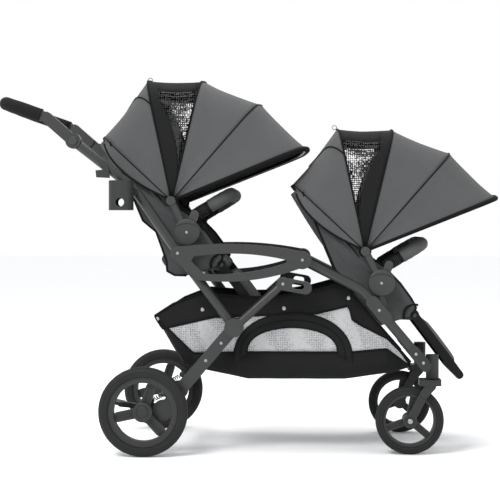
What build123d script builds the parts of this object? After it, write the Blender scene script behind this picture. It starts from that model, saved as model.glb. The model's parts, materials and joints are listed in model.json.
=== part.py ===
from build123d import *
import math
import os

# Tandem folding stroller, two seats in line, millimetres.
# Frame: +X is forward, +Z is up, Y = 0 is the middle plane, Z = 0 is the ground.
# The right side is at -Y.  Side pieces are drawn for the right side and mirrored.
# "Reach" is a distance from the middle plane.

# ---------------------------------------------------------------- driving dimensions
rear_wheel_radius = 127.0
rear_tyre_width = 44.0
rear_tyre_depth = 26.0
rear_rim_depth = 18.0
rear_axle_x = -294.0
rear_wheel_reach = 308.0
front_wheel_radius = 97.5
front_tyre_width = 38.0
front_tyre_depth = 19.0
front_rim_depth = 10.0
caster_x = 528.6
caster_trail = 64.6
caster_reach = 233.0
spoke_count = 3

tube_radius = 14.0
side_tube_reach = 262.0
loop_thickness = 18.0
layer_gap = 3.0
leg_thickness = 20.0
leg_width = 36.0
upper_leg_radius = 12.5
cross_tube_radius = 12.0

handle_pivot = (-197.0, 576.0)
fold_pivot = (157.0, 557.0)
leg_hub = (-37.0, 365.0)
leg_top = (102.0, 489.5)
rear_pivot_offset = 53.0
handle_bend = (-325.0, 762.0)
adjust_hub = (-497.5, 896.3)
sleeve_end = (-575.0, 964.0)
crossbar = (-714.0, 1013.0)
front_bend = (326.0, 472.0)
front_tube_end = (497.0, 269.0)

grip_radius = 19.0
handle_bar_radius = 12.5
crossbar_corner_radius = 125.0
adjust_hub_radius = 22.0
button_radius = 12.5
button_height = 6.0
pin_radius = 6.0
fold_pin_radius = 8.0
running_fit = 0.06
clearance = 0.3

seat_disc = (-175.0, 635.0)          # rear seat's hub disc
seat_step = (558.0, -145.0)          # from the rear seat to the front seat
disc_radius = 39.0
disc_thickness = 28.0
disc_inner_reach = 218.0
cushion_half_width = 175.0
seat_post_radius = 12.0
canopy_half_width = 217.0
canopy_skin = 2.0
bow_radius = 3.5
canopy_hub = (-46.0, 91.0)           # from the disc
bow_angles = (102.0, 76.7, 48.7, 21.9)
bow_reaches = (373.0, 372.0, 389.0, 425.0)
back_bow_angle = 137.0
back_bow_reach = 290.0
leg_rest_pivot = (97.0, -94.0)       # from the disc
leg_rest_length = 215.0
leg_rest_angle = -53.0
leg_rest_radius = 12.0
bumper_pivot = (22.0, 52.0)          # from the disc
bumper_tip = (122.0, 112.0)          # from the disc
bumper_reach = 172.0
bumper_foam_radius = 18.0

basket_half_width = 215.0
basket_skin = 2.0
cup_radius = 35.0
cup_wall = 2.5
cup_height = 84.0
screw_radius = 4.5
screw_height = 2.2

# ---------------------------------------------------------------- worked-out places
tube_inner_reach = side_tube_reach - tube_radius
tube_outer_reach = side_tube_reach + tube_radius
loop_inner_reach = tube_outer_reach + layer_gap
loop_outer_reach = loop_inner_reach + loop_thickness
rear_axle = (rear_axle_x, rear_wheel_radius)
rear_pivot = (rear_axle_x + rear_pivot_offset, rear_wheel_radius)
front_axle = (caster_x - caster_trail, front_wheel_radius)
wheel_inner_reach = rear_wheel_reach - rear_tyre_width / 2
leg_outer_reach = wheel_inner_reach - 6.0
leg_inner_reach = leg_outer_reach - leg_thickness
upper_leg_reach = loop_inner_reach + upper_leg_radius
front_seat_disc = (seat_disc[0] + seat_step[0], seat_disc[1] + seat_step[1])


# ---------------------------------------------------------------- drawing helpers
def side_plane(reach):
    """Drawing plane of the right side: local x, y are X, Z and extrusion goes outboard."""
    return Plane.XZ.offset(reach)


def disc(centre, radius, inner, outer, hole=0.0):
    """Round plate or ring across the stroller, between two reaches of the right side."""
    face = Circle(radius)
    if hole:
        face = face - Circle(hole)
    return extrude(side_plane(inner) * Pos(*centre) * face, amount=outer - inner)


def plate(outline, inner, outer):
    """Flat plate from a closed line of the side view, between two reaches."""
    return extrude(side_plane(inner) * make_face(outline), amount=outer - inner)


def bar(start, end, width, inner, outer):
    """Flat bar with round ends between two points of the side view."""
    run = Vector(end[0] - start[0], end[1] - start[1])
    angle = math.degrees(math.atan2(run.Y, run.X))
    middle = ((start[0] + end[0]) / 2, (start[1] + end[1]) / 2)
    face = SlotCenterToCenter(run.length, width)
    return extrude(side_plane(inner) * Pos(*middle) * Rot(0, 0, angle) * face, amount=outer - inner)


def rod(points, radius, bends=None, hole=0.0):
    """Round tube or bar along straight runs with arcs of the given bend radii."""
    if len(points) == 2:
        path = Line(*points)
    else:
        path = FilletPolyline(*points, radius=bends)
    section = Circle(radius)
    if hole:
        section = section - Circle(hole)
    return sweep(Plane(origin=path @ 0, z_dir=path % 0) * section, path=path)


def side_point(point, reach):
    """3-D point of the right side."""
    return (point[0], -reach, point[1])


def polar(centre, distance, angle):
    """Point of the side view at a distance and an angle from a centre."""
    turn = math.radians(angle)
    return (centre[0] + distance * math.cos(turn), centre[1] + distance * math.sin(turn))


def add(first, second):
    """Sum of two points of the side view."""
    return (first[0] + second[0], first[1] + second[1])


def both(piece):
    """A right-side piece and its left-side mirror, as one group."""
    return Compound(children=[piece, mirror(piece, about=Plane.XZ)])


nodes = {}


def pair(name, piece):
    """Two nodes, one for each side."""
    nodes[name + "_right"] = piece
    nodes[name + "_left"] = mirror(piece, about=Plane.XZ)


def screw(point, reach):
    """Dome-headed screw on the outboard face of a side piece."""
    head = disc(point, screw_radius, reach, reach + screw_height)
    return chamfer(head.faces().sort_by(Axis.Y)[0].edges(), 0.8)


# ---------------------------------------------------------------- side frame
def arm_loop():
    """Eye-shaped side link between the handle pivot and the fold pivot, with its pins."""
    px, pz = handle_pivot
    fx, fz = fold_pivot
    outline = [
        ThreePointArc((px - 4, pz + 18), (-48, pz + 27), (fx + 2, fz + 24)),
        Line((fx + 2, fz + 24), (fx - 6, fz - 24)),
        ThreePointArc((fx - 6, fz - 24), (20, 501), (-140, 500)),
        Line((-140, 500), (px - 16, pz - 12)),
        Line((px - 16, pz - 12), (px - 4, pz + 18)),
    ]
    body = plate(outline, loop_inner_reach, loop_outer_reach)
    body += disc(handle_pivot, 21, loop_inner_reach, loop_outer_reach)
    body += disc(fold_pivot, 26, loop_inner_reach, loop_outer_reach)
    eye = [
        ThreePointArc((-150, 567), (-45, 575), (112, 557)),
        Line((112, 557), (112, 549)),
        ThreePointArc((112, 549), (5, 523), (-122, 518)),
        Line((-122, 518), (-158, 555)),
        Line((-158, 555), (-150, 567)),
    ]
    body -= plate(eye, loop_inner_reach - 1, loop_outer_reach + 1)
    body += disc(handle_pivot, pin_radius, tube_inner_reach, loop_inner_reach)
    body += disc(fold_pivot, fold_pin_radius, tube_inner_reach, loop_inner_reach)
    return body


def rear_leg():
    """Lower leg, its hub, the upper leg tube with its end bracket, and the axle housing."""
    inner, outer = leg_inner_reach, leg_outer_reach
    body = bar(leg_hub, add(rear_pivot, (14, 16)), leg_width, inner, outer)
    body += disc(rear_pivot, 30, inner, outer)
    body += disc(leg_hub, 27, inner, upper_leg_reach + upper_leg_radius)
    run = Vector(leg_top[0] - leg_hub[0], leg_top[1] - leg_hub[1])
    tube_end = add(leg_hub, tuple(run * (1 - 14 / run.length))[:2])
    body += rod([side_point(leg_hub, upper_leg_reach), side_point(tube_end, upper_leg_reach)], upper_leg_radius)
    bracket_inner = loop_inner_reach
    bracket_outer = bracket_inner + 2 * upper_leg_radius
    bracket = bar(leg_top, (166, 478), 36, bracket_inner, bracket_outer)
    bracket -= bar((137, 484), (153, 481.5), 18, bracket_inner - 1, bracket_outer + 1)
    bracket -= disc(fold_pivot, 46, bracket_inner - 1, bracket_outer + 1)
    body += bracket
    body += disc(rear_pivot, 7, inner - 26, inner)
    spring_foot = add(rear_pivot, (13, 52))
    body += disc(spring_foot, 9, inner - 22, inner)
    return body


def spring_line():
    """Ends of the rear spring, on the swing arm and on the leg."""
    foot = Vector(*side_point(add(rear_pivot, (13, 52)), leg_inner_reach - 12))
    arm = Vector(*side_point(add(rear_pivot, (-36, 24)), leg_inner_reach - 12))
    along = (foot - arm).normalized()
    return arm + along * 11, foot - along * 11


def side_strut():
    """Lower side tube from under the handle pivot to the leg hub, with the seat socket."""
    run = Vector(leg_hub[0] - handle_pivot[0], leg_hub[1] - handle_pivot[1]).normalized()
    start = add(handle_pivot, (run.X * 24, run.Y * 24))
    end = add(leg_hub, (-run.X * 20, -run.Y * 20))
    body = rod([side_point(start, side_tube_reach), side_point(end, side_tube_reach)], tube_radius)
    lug = bar(add(start, (run.X * 6, run.Y * 6)), add(start, (run.X * 46, run.Y * 46)), 24,
              side_tube_reach, loop_inner_reach)
    body += lug
    socket = socket_block(seat_disc)
    foot_end = add(start, (run.X * 30, run.Y * 30))
    body += bar(add(seat_disc, (6, -57)), foot_end, 22, socket_inner_reach, tube_inner_reach - clearance)
    body += bar(add(seat_disc, (9, -87)), foot_end, 22, socket_inner_reach, tube_outer_reach - 4)
    body += socket
    body -= seat_bore(seat_disc)
    body -= disc(handle_pivot, 22, tube_inner_reach - 1, tube_outer_reach + 1)
    body -= disc(leg_hub, 27 + 0.1, tube_inner_reach - 1, tube_outer_reach + 1)
    return body


socket_inner_reach = 216.0
socket_reach = socket_inner_reach + 16.0
socket_top = -44.0
socket_depth = 24.0


def socket_block(disc_centre):
    """Upright round socket that takes a seat's post, under the seat's disc."""
    height = socket_depth + 5
    base = (disc_centre[0], -socket_reach, disc_centre[1] + socket_top - height / 2)
    return Pos(*base) * Cylinder(15.6, height)


def seat_bore(disc_centre):
    """The hole of a seat socket, open at the top."""
    centre = (disc_centre[0], -socket_reach, disc_centre[1] + socket_top - socket_depth / 2 + 1)
    return Pos(*centre) * Cylinder(seat_post_radius + running_fit, socket_depth + 2)


def rear_cross_tube():
    """Tube between the two rear legs, above the axle housings."""
    centre = add(rear_pivot, (24, 30))
    return disc(centre, cross_tube_radius, -leg_inner_reach, leg_inner_reach, cross_tube_radius - 2)


def swing_arm():
    """Sprung arm from the leg's pivot to the rear axle, with the axle stub."""
    inner, outer = leg_inner_reach - 24, leg_inner_reach - 3
    body = bar(rear_pivot, rear_axle, 34, inner, outer)
    body += bar(rear_axle, add(rear_pivot, (-36, 24)), 18, inner, outer)
    body -= disc(rear_pivot, 7 + running_fit, inner - 1, outer + 1)
    body += disc(rear_axle, 12, outer, wheel_inner_reach - 4)
    body += disc(rear_axle, pin_radius, outer, rear_wheel_reach + 22)
    body -= disc(add(rear_pivot, (13, 52)), 26, inner - 1, outer + 1)
    return body


def brake_lug(swing):
    """Adds the brake pedal's pivot pin behind the right axle."""
    pivot = add(rear_axle, (-34, 8))
    inner = leg_inner_reach - 24
    swing += bar(rear_axle, pivot, 16, inner, inner + 9)
    swing += disc(pivot, 4, inner - 18, inner + 9)
    return swing


def brake_pedal():
    """Foot pedal behind the right rear wheel."""
    pivot = add(rear_axle, (-34, 8))
    inner = leg_inner_reach - 24
    body = bar(pivot, add(pivot, (-40, 4)), 15, inner - 15, inner - 3)
    body += bar(add(pivot, (-34, 4)), add(pivot, (-62, 10)), 9, inner - 62, inner + 6)
    body -= disc(pivot, 4 + running_fit, inner - 20, inner)
    return body


def wheel_parts(centre, reach, radius, tyre_width, tyre_depth, rim_depth, hub_radius, hub_width, bore, turn):
    """Tyre and spoked rim of one wheel, with three twin-ribbed spokes."""
    seat_radius = radius - tyre_depth
    inner_radius = seat_radius - rim_depth
    tyre = disc(centre, radius, reach - tyre_width / 2, reach + tyre_width / 2, seat_radius)
    tyre = fillet(tyre.edges().filter_by(GeomType.CIRCLE).sort_by(SortBy.RADIUS)[-2:], tyre_width * 0.36)
    rim_width = tyre_width * 0.7
    rim = disc(centre, seat_radius - 0.05, reach - rim_width / 2, reach + rim_width / 2, inner_radius)
    spoke_width = hub_radius * 1.1
    for index in range(spoke_count):
        tip = polar(centre, inner_radius + 4 - spoke_width / 2, turn + index * 360 / spoke_count)
        rim += bar(centre, tip, spoke_width, reach - 6, reach + 6)
        groove = polar(centre, inner_radius - 8, turn + index * 360 / spoke_count)
        root = polar(centre, hub_radius + 8, turn + index * 360 / spoke_count)
        rim -= bar(root, groove, spoke_width * 0.4, reach + 3, reach + 7)
        rim -= bar(root, groove, spoke_width * 0.4, reach - 7, reach - 3)
    rim += disc(centre, hub_radius, reach - hub_width / 2, reach + hub_width / 2)
    rim -= disc(centre, bore + running_fit, reach - hub_width, reach + hub_width)
    return tyre, rim


# ---------------------------------------------------------------- front frame
def front_tube():
    """Bent front tube from the fold pivot down to the caster, with its pivot lug and sleeve."""
    dx, dz = front_bend[0] - fold_pivot[0], front_bend[1] - fold_pivot[1]
    length = math.hypot(dx, dz)
    start = add(fold_pivot, (dx / length * 16, dz / length * 16))
    points = [side_point(p, side_tube_reach) for p in (start, front_bend, front_tube_end)]
    body = rod(points, tube_radius, [90])
    body += disc(fold_pivot, 24, tube_inner_reach + 1, tube_outer_reach)
    body -= disc(fold_pivot, fold_pin_radius + running_fit, tube_inner_reach - 1, tube_outer_reach + 1)
    low_run = Vector(front_tube_end[0] - front_bend[0], front_tube_end[1] - front_bend[1]).normalized()
    mid = add(front_seat_disc, (-8, -76))
    a = add(mid, (-low_run.X * 30, -low_run.Y * 30))
    b = add(mid, (low_run.X * 30, low_run.Y * 30))
    body += bar(a, b, 36, tube_inner_reach - 6, tube_outer_reach + 2)
    body += bar(add(front_seat_disc, (0, -60)), mid, 30, socket_inner_reach, tube_inner_reach)
    body += socket_block(front_seat_disc)
    body -= seat_bore(front_seat_disc)
    return body


def caster_housing():
    """Upright caster bearing and the bracket that holds the front tube's end."""
    outer_radius = 18.5
    column = Pos(caster_x, -caster_reach, 252) * Cylinder(outer_radius, 68)
    link = bar(add(front_tube_end, (2, -2)), (caster_x - 6, 246), 34, caster_reach - 15, tube_inner_reach - 1)
    cheek = bar(add(front_tube_end, (-22, 26)), add(front_tube_end, (10, -13)), 33,
                tube_inner_reach - 1, tube_outer_reach + 3)
    low_run = [side_point(front_bend, side_tube_reach), side_point(front_tube_end, side_tube_reach)]
    body = column + link + cheek
    body -= rod(low_run, tube_radius + 0.05)
    body -= Pos(caster_x, -caster_reach, 252) * Cylinder(8 + running_fit, 80)
    return body


def caster_fork():
    """Swivelling crown, kingpin and cheeks of one front wheel."""
    crown = Pos(caster_x - 7, -caster_reach, 207) * Box(62, 78, 17)
    crown = fillet(crown.edges().filter_by(Axis.Z), 12)
    body = crown + Pos(caster_x, -caster_reach, 247) * Cylinder(8, 66)
    for inner in (caster_reach - 37, caster_reach + 31):
        body += bar((caster_x - 4, 199), suspension_pivot, 26, inner, inner + 6)
    body += disc(suspension_pivot, 5, caster_reach - 37, caster_reach - 20.5)
    body += disc(suspension_pivot, 5, caster_reach + 20.5, caster_reach + 37)
    return body


suspension_pivot = (504.7, 176.7)


def caster_arm():
    """Sprung trailing arm of one front wheel with its axle bolt."""
    body = None
    for inner in (caster_reach - 30, caster_reach + 23):
        side = bar(suspension_pivot, front_axle, 25, inner, inner + 7)
        side += disc(front_axle, 20, inner, inner + 7)
        side -= disc(suspension_pivot, 5 + running_fit, inner - 1, inner + 8)
        body = side if body is None else body + side
    body += disc(front_axle, 5, caster_reach - 30, caster_reach + 30)
    body += disc(front_axle, 10, caster_reach + 30, caster_reach + 34)
    return body


# ---------------------------------------------------------------- handle
def handle_tube():
    """Lower handle tube with its pivot lug, hub plate and the hub's pin."""
    dx, dz = handle_bend[0] - handle_pivot[0], handle_bend[1] - handle_pivot[1]
    length = math.hypot(dx, dz)
    start = add(handle_pivot, (dx / length * 12, dz / length * 12))
    run = Vector(adjust_hub[0] - handle_bend[0], adjust_hub[1] - handle_bend[1]).normalized()
    end = add(adjust_hub, (-run.X * 12, -run.Y * 12))
    body = rod([side_point(p, side_tube_reach) for p in (start, handle_bend, end)], tube_radius, [150])
    body += disc(handle_pivot, 19, tube_inner_reach + 1, tube_outer_reach)
    body -= disc(handle_pivot, pin_radius + running_fit, tube_inner_reach - 1, tube_outer_reach + 1)
    body -= disc(adjust_hub, adjust_hub_radius + 1.5, hub_split, tube_outer_reach + 1)
    body += disc(adjust_hub, adjust_hub_radius, tube_inner_reach, hub_split - clearance)
    body += disc(adjust_hub, pin_radius, hub_split - clearance, button_floor - 1)
    return body


hub_split = side_tube_reach - 2
button_floor = tube_outer_reach - 5
button_rest = button_floor + 3.5


def handle_bar():
    """Upper handle: two sleeves that turn on the hubs and the tube that joins them."""
    corner = crossbar
    points = [
        (sleeve_end[0], -side_tube_reach, sleeve_end[1]),
        (corner[0], -side_tube_reach, corner[1]),
        (corner[0], side_tube_reach, corner[1]),
        (sleeve_end[0], side_tube_reach, sleeve_end[1]),
    ]
    body = rod(points, handle_bar_radius, [crossbar_corner_radius, crossbar_corner_radius])
    for half in (upper_sleeve(), mirror(upper_sleeve(), about=Plane.XZ)):
        body += half
    return body


def upper_sleeve():
    """Moulded sleeve between one hub and the upper handle tube."""
    body = bar(adjust_hub, sleeve_end, 32, hub_split + clearance, tube_outer_reach)
    run = Vector(sleeve_end[0] - adjust_hub[0], sleeve_end[1] - adjust_hub[1]).normalized()
    inner_start = add(adjust_hub, (run.X * 42, run.Y * 42))
    body += bar(inner_start, sleeve_end, 32, tube_inner_reach, hub_split + clearance + 1)
    body += disc(adjust_hub, adjust_hub_radius, hub_split + clearance, tube_outer_reach)
    body -= disc(adjust_hub, pin_radius + running_fit, hub_split - 1, tube_outer_reach + 1)
    body -= disc(adjust_hub, button_radius + clearance, button_floor, tube_outer_reach + 1)
    return body


def handle_button():
    """Push button in the outboard face of one hub."""
    button = disc(adjust_hub, button_radius, button_rest, button_rest + button_height)
    return chamfer(button.faces().sort_by(Axis.Y)[0].edges(), 1.5)


def foam_grip():
    """Foam sleeve over the upper handle tube, from one sleeve end to the other."""
    corner = crossbar
    run = Vector(corner[0] - sleeve_end[0], corner[1] - sleeve_end[1]).normalized()
    start = add(sleeve_end, (run.X * 17, run.Y * 17))
    points = [
        (start[0], -side_tube_reach, start[1]),
        (corner[0], -side_tube_reach, corner[1]),
        (corner[0], side_tube_reach, corner[1]),
        (start[0], side_tube_reach, start[1]),
    ]
    bends = [crossbar_corner_radius, crossbar_corner_radius]
    return rod(points, grip_radius, bends, hole=handle_bar_radius + clearance)


def latch_hook():
    """Plate with a notch that catches the side frame when the stroller is folded."""
    outline = Polyline((-391, 790), (-398, 838), (-420, 842), (-421, 828), (-409, 824), (-411, 814),
                       (-432, 812), (-430, 792), (-391, 790))
    return plate([outline], tube_outer_reach + clearance, tube_outer_reach + 6)


cup_centre = (-355.0, -(tube_outer_reach + cup_radius + clearance), 740.0)


def cup_holder():
    """Open cup with a windowed wall, clipped to the right handle tube by an arm."""
    outer = Pos(*cup_centre) * Cylinder(cup_radius, cup_height)
    inner = Pos(cup_centre[0], cup_centre[1], cup_centre[2] + 4) * Cylinder(cup_radius - cup_wall, cup_height)
    body = outer - inner
    window = Pos(cup_centre[0], cup_centre[1], cup_centre[2] - 20) * Rot(90, 0, 0) * Cylinder(12, 2.4 * cup_radius)
    body -= window
    arm = bar(add((cup_centre[0], cup_centre[2]), (8, 14)), (-322, 750), 22, tube_outer_reach, tube_outer_reach + 12)
    arm -= Pos(cup_centre[0], cup_centre[1], cup_centre[2] + 4) * Cylinder(cup_radius - 0.5, cup_height)
    return body + arm


# ---------------------------------------------------------------- seats
def seat_rails():
    """One side of a seat frame: hub disc, post, canopy stub and the side plate of the seat."""
    origin = (0.0, 0.0)
    outer = disc_inner_reach + disc_thickness
    body = disc(origin, disc_radius, disc_inner_reach, outer)
    body = fillet(body.faces().sort_by(Axis.Y)[0].edges(), 5)
    body += disc(origin, 20, cushion_half_width + 3, disc_inner_reach + 1)
    post_top = -30.0
    post_length = post_top - (socket_top - socket_depth + 3)
    body += Pos(0, -socket_reach, post_top - post_length / 2) * Cylinder(seat_post_radius, post_length)
    body += disc(canopy_hub, 13, disc_inner_reach, outer)
    body += rod([(0, -socket_reach, 0), (canopy_hub[0], -socket_reach, canopy_hub[1])], 11.5)
    body += disc(canopy_hub, 5, cushion_half_width + 28, disc_inner_reach + 1)
    body += bumper_adapter()
    inner = cushion_half_width + 3
    body += bar(origin, leg_rest_pivot, 30, inner, inner + 8)
    body += bar(origin, (-62, -78), 30, inner, inner + 8)
    body += bar((-62, -78), leg_rest_pivot, 22, inner, inner + 8)
    body += disc(leg_rest_pivot, 6, inner, inner + 24)
    return body


def bumper_adapter():
    """Arm from the hub disc to the bumper bar's pivot pin."""
    outer = disc_inner_reach + disc_thickness
    body = bar((12, 26), bumper_pivot, 24, disc_inner_reach + 2, outer - 8)
    body += disc(bumper_pivot, 7, bumper_reach + bumper_foam_radius - 6, disc_inner_reach + 3)
    return body


def seat_frame():
    """Both sides of a seat frame with the cross tubes under the cushion and the fixed canopy bow."""
    half = seat_rails()
    body = half + mirror(half, about=Plane.XZ)
    edge = cushion_half_width + 4
    body += disc((-62, -78), 9, -edge, edge, 7.5)
    body += disc(leg_rest_pivot, 9, -edge, edge, 7.5)
    return body + canopy_bow(0)


def seat_cushion():
    """Padded seat bottom between the side plates."""
    outline = Polyline((-88, -60), (-50, -64), (84, -70), (112, -80), (122, -96), (110, -112), (96, -106),
                       (60, -104), (10, -123), (-36, -121), (-46, -96), (-84, -96), (-88, -60))
    body = plate([outline], -cushion_half_width, cushion_half_width)
    body -= disc(leg_rest_pivot, 9 + clearance, -cushion_half_width - 1, cushion_half_width + 1)
    body -= disc((-62, -78), 9 + clearance, -cushion_half_width - 1, cushion_half_width + 1)
    return body


back_reach = cushion_half_width + 19.0
back_tube_radius = 7.0
back_tube_drop = 24.0
back_corner_radius = 75.0
pad_gap = 0.5
corner_steps = 4


def seat_back_frame():
    """Reclining back frame: a lug on each hub and one tube over the top."""
    top = polar(canopy_hub, back_bow_reach - back_tube_drop, back_bow_angle)
    ring_inner, ring_outer = back_reach - 6, back_reach + 6
    body = None
    for half_side in (1, -1):
        side = disc((0, 0), 30, ring_inner, ring_outer, 20 + running_fit)
        side = side if half_side == 1 else mirror(side, about=Plane.XZ)
        body = side if body is None else body + side
    start = polar((0, 0), 25, 133)
    points = [
        (start[0], -back_reach, start[1]),
        (top[0], -back_reach, top[1]),
        (top[0], back_reach, top[1]),
        (start[0], back_reach, start[1]),
    ]
    return body + rod(points, back_tube_radius, [back_corner_radius, back_corner_radius])


def seat_back_pad():
    """Padded back between the side tubes, from the seat up to the top of the back."""
    top = polar(canopy_hub, back_bow_reach - back_tube_drop - back_tube_radius - pad_gap, back_bow_angle)
    run = Vector(top[0], top[1]).normalized()
    normal = (run.Y, -run.X)
    foot = (-44.0, 6.0)
    rear = 16.0
    front = 26.0
    outline = Polyline(
        add(foot, (normal[0] * front, normal[1] * front)),
        add(top, (normal[0] * front, normal[1] * front)),
        add(top, (-normal[0] * rear, -normal[1] * rear)),
        (-118, 18),
        (-100, -18),
        (-84, -22),
        add(foot, (normal[0] * front, normal[1] * front)),
    )
    half = back_reach - back_tube_radius - pad_gap
    body = plate([outline], -half, half)
    across = Plane(origin=(top[0], 0, top[1]), x_dir=(0, 1, 0), z_dir=(normal[0], 0, normal[1]))
    corner = back_corner_radius - back_tube_radius - pad_gap
    turns = [math.radians(step * 90 / corner_steps) for step in range(corner_steps + 1)]
    curve = [(half - corner + corner * math.cos(t), corner * math.sin(t) - corner) for t in turns]
    cut_line = [(half + 2, -corner)] + curve + [(half - corner, 2), (half + 2, 2), (half + 2, -corner)]
    for sign in (1, -1):
        points = [(sign * x, y) for x, y in cut_line]
        body -= extrude(across * make_face(Polyline(*points)), amount=2 * back_corner_radius, both=True)
    return body


def leg_rest():
    """Hinged foot frame with its sling, below the front edge of a seat."""
    reach = cushion_half_width + 20
    tip = polar(leg_rest_pivot, leg_rest_length, leg_rest_angle)
    body = None
    for half_side in (1, -1):
        side = bar(leg_rest_pivot, tip, 2 * leg_rest_radius, reach - 7, reach + 7)
        side -= disc(leg_rest_pivot, 6 + running_fit, reach - 8, reach + 8)
        side = side if half_side == 1 else mirror(side, about=Plane.XZ)
        body = side if body is None else body + side
    body += disc(tip, leg_rest_radius, -reach, reach, leg_rest_radius - 2)
    run = Vector(tip[0] - leg_rest_pivot[0], tip[1] - leg_rest_pivot[1]).normalized()
    front = (-run.Y, run.X)
    sling_top = add(leg_rest_pivot, (run.X * 34 + front[0] * 8, run.Y * 34 + front[1] * 8))
    sling_stop = leg_rest_radius + clearance + 4.5
    sling_end = add(tip, (front[0] * 8 - run.X * sling_stop, front[1] * 8 - run.Y * sling_stop))
    sling_reach = reach - 7 - clearance
    body += bar(sling_top, sling_end, 9, -sling_reach, sling_reach)
    return body


def bumper_bar():
    """Padded bar in front of the child, hinged at both hubs."""
    points = [
        (bumper_pivot[0], -bumper_reach, bumper_pivot[1]),
        (bumper_tip[0], -bumper_reach, bumper_tip[1]),
        (bumper_tip[0], bumper_reach, bumper_tip[1]),
        (bumper_pivot[0], bumper_reach, bumper_pivot[1]),
    ]
    body = rod(points, bumper_foam_radius, [52, 52])
    for half_side in (1, -1):
        end = disc(bumper_pivot, 17, bumper_reach - 14, bumper_reach + bumper_foam_radius + 6)
        cut = disc(bumper_pivot, 7 + running_fit, bumper_reach - 6, bumper_reach + bumper_foam_radius + 8)
        body += end if half_side == 1 else mirror(end, about=Plane.XZ)
        body -= cut if half_side == 1 else mirror(cut, about=Plane.XZ)
    return body


def bow_plane(angle):
    """Plane of a canopy bow: local x runs out from the hub, local y runs along +Y."""
    turn = math.radians(angle)
    along = Vector(math.cos(turn), 0, math.sin(turn))
    normal = Vector(-math.sin(turn), 0, math.cos(turn))
    return Plane(origin=(canopy_hub[0], 0, canopy_hub[1]), x_dir=along, z_dir=normal)


strap_layer = 3.0
strap_first = cushion_half_width + 28.2
bow_start = 66.0
bow_corner = 70.0
crown_bend = 600.0
crown_rise = 20.0


def arch(reach, half_width, start, corner):
    """Points and bends of an arch that is open at the hub."""
    points = [(start, -half_width), (reach - crown_rise, -half_width), (reach, 0),
              (reach - crown_rise, half_width), (start, half_width)]
    return points, [corner, crown_bend, corner]


def canopy_bow(index):
    """One canopy bow: an arched wire on two flat straps that turn on the hub pins."""
    inset = canopy_skin + bow_radius + 2.5
    plane = bow_plane(bow_angles[index])
    half_width = canopy_half_width - 8.3
    points, bends = arch(bow_reaches[index] - inset, half_width, bow_start, bow_corner)
    body = rod([plane.from_local_coords((x, y, 0)) for x, y in points], bow_radius, bends)
    strap_inner = strap_first + index * strap_layer
    far = polar(canopy_hub, bow_start + 6, bow_angles[index])
    strap = bar(canopy_hub, far, 6.4, strap_inner, strap_inner + 2.4)
    strap += disc(canopy_hub, 9, strap_inner, strap_inner + 2.4)
    reach_tie = max(half_width, strap_inner + 2.4)
    tie = bar(polar(canopy_hub, bow_start + 1, bow_angles[index]), far, 6.4,
              min(half_width, strap_inner), reach_tie)
    strap += tie
    if index:
        strap -= disc(canopy_hub, 5 + running_fit, strap_inner - 1, strap_inner + 4)
    return body + strap + mirror(strap, about=Plane.XZ)


def canopy_section(angle, reach, half_width):
    """Closed band of the canopy's cloth in the plane of one bow."""
    start = 18.0
    outer_points, outer_bends = arch(reach, half_width, start, 78)
    inner_points, inner_bends = arch(reach - canopy_skin, half_width - canopy_skin, start, 78 - canopy_skin)
    outer = FilletPolyline(*outer_points, radius=outer_bends)
    inner = FilletPolyline(*inner_points, radius=inner_bends)
    ends = [Line(outer @ 0, inner @ 0), Line(outer @ 1, inner @ 1)]
    return bow_plane(angle) * make_face([outer, inner] + ends)


def canopy_cloth():
    """Cloth from the fixed bow to the front edge, in straight panels between the bows."""
    sections = [canopy_section(angle, reach, canopy_half_width) for angle, reach in zip(bow_angles, bow_reaches)]
    return loft(sections, ruled=True)


def canopy_back_cloth():
    """Cloth from the top of the back to the fixed bow."""
    gap = 0.4
    sections = [
        canopy_section(back_bow_angle, back_bow_reach, canopy_half_width),
        canopy_section(bow_angles[0] + gap, bow_reaches[0], canopy_half_width),
    ]
    return loft(sections, ruled=True)


def build_seat(prefix, place):
    """All pieces of one seat, moved to its hub disc."""
    pieces = {
        "seat_frame": seat_frame(),
        "seat_cushion": seat_cushion(),
        "back_frame": seat_back_frame(),
        "back_pad": seat_back_pad(),
        "leg_rest": leg_rest(),
        "bumper_bar": bumper_bar(),
        "canopy_bow_second": canopy_bow(1),
        "canopy_bow_third": canopy_bow(2),
        "canopy_bow_front": canopy_bow(3),
        "canopy_cloth": canopy_cloth(),
        "canopy_back_cloth": canopy_back_cloth(),
    }
    for name, piece in pieces.items():
        nodes[prefix + "_" + name] = Pos(place[0], 0, place[1]) * piece


# ---------------------------------------------------------------- basket and fasteners
def basket():
    """Storage basket: floor, rear wall and two side walls of cloth, open at the top and front."""
    rim = [(-270, 390), (-137, 456), (0, 446), (180, 440), (290, 446), (468, 262)]
    floor = [(468, 246), (420, 232), (279, 212), (0, 212), (-186, 250), (-246, 352)]
    side = Polyline(*rim, *floor, rim[0])
    body = plate([side], -basket_half_width, basket_half_width)
    skin = basket_skin
    inside = Polyline((-270 + skin, 392), (-137, 470), (300, 470), (480, 300), (480, 252),
                      (420, 232 + skin), (279, 212 + skin), (0, 212 + skin), (-186 + skin, 250 + skin),
                      (-246 + skin, 352 + skin), (-270 + skin, 392))
    body -= plate([inside], -(basket_half_width - skin), basket_half_width - skin)
    for half_side in (1, -1):
        tabs = hanging_tabs()
        body += tabs if half_side == 1 else mirror(tabs, about=Plane.XZ)
    return body


def hanging_tabs():
    """Straps that hang one side of the basket from the strut, the leg and the front tube."""
    inner = basket_half_width - basket_skin
    tabs = bar((-112, 440), (-98, 436), 14, inner, tube_inner_reach - clearance)
    tabs += bar((-45, 372), (-33, 366), 14, inner, leg_inner_reach - clearance)
    tabs += bar((416, 300), (430, 345), 14, inner, basket_half_width)
    tabs += bar((427, 338), (433, 348), 12, inner, tube_inner_reach - clearance)
    return tabs


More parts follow.
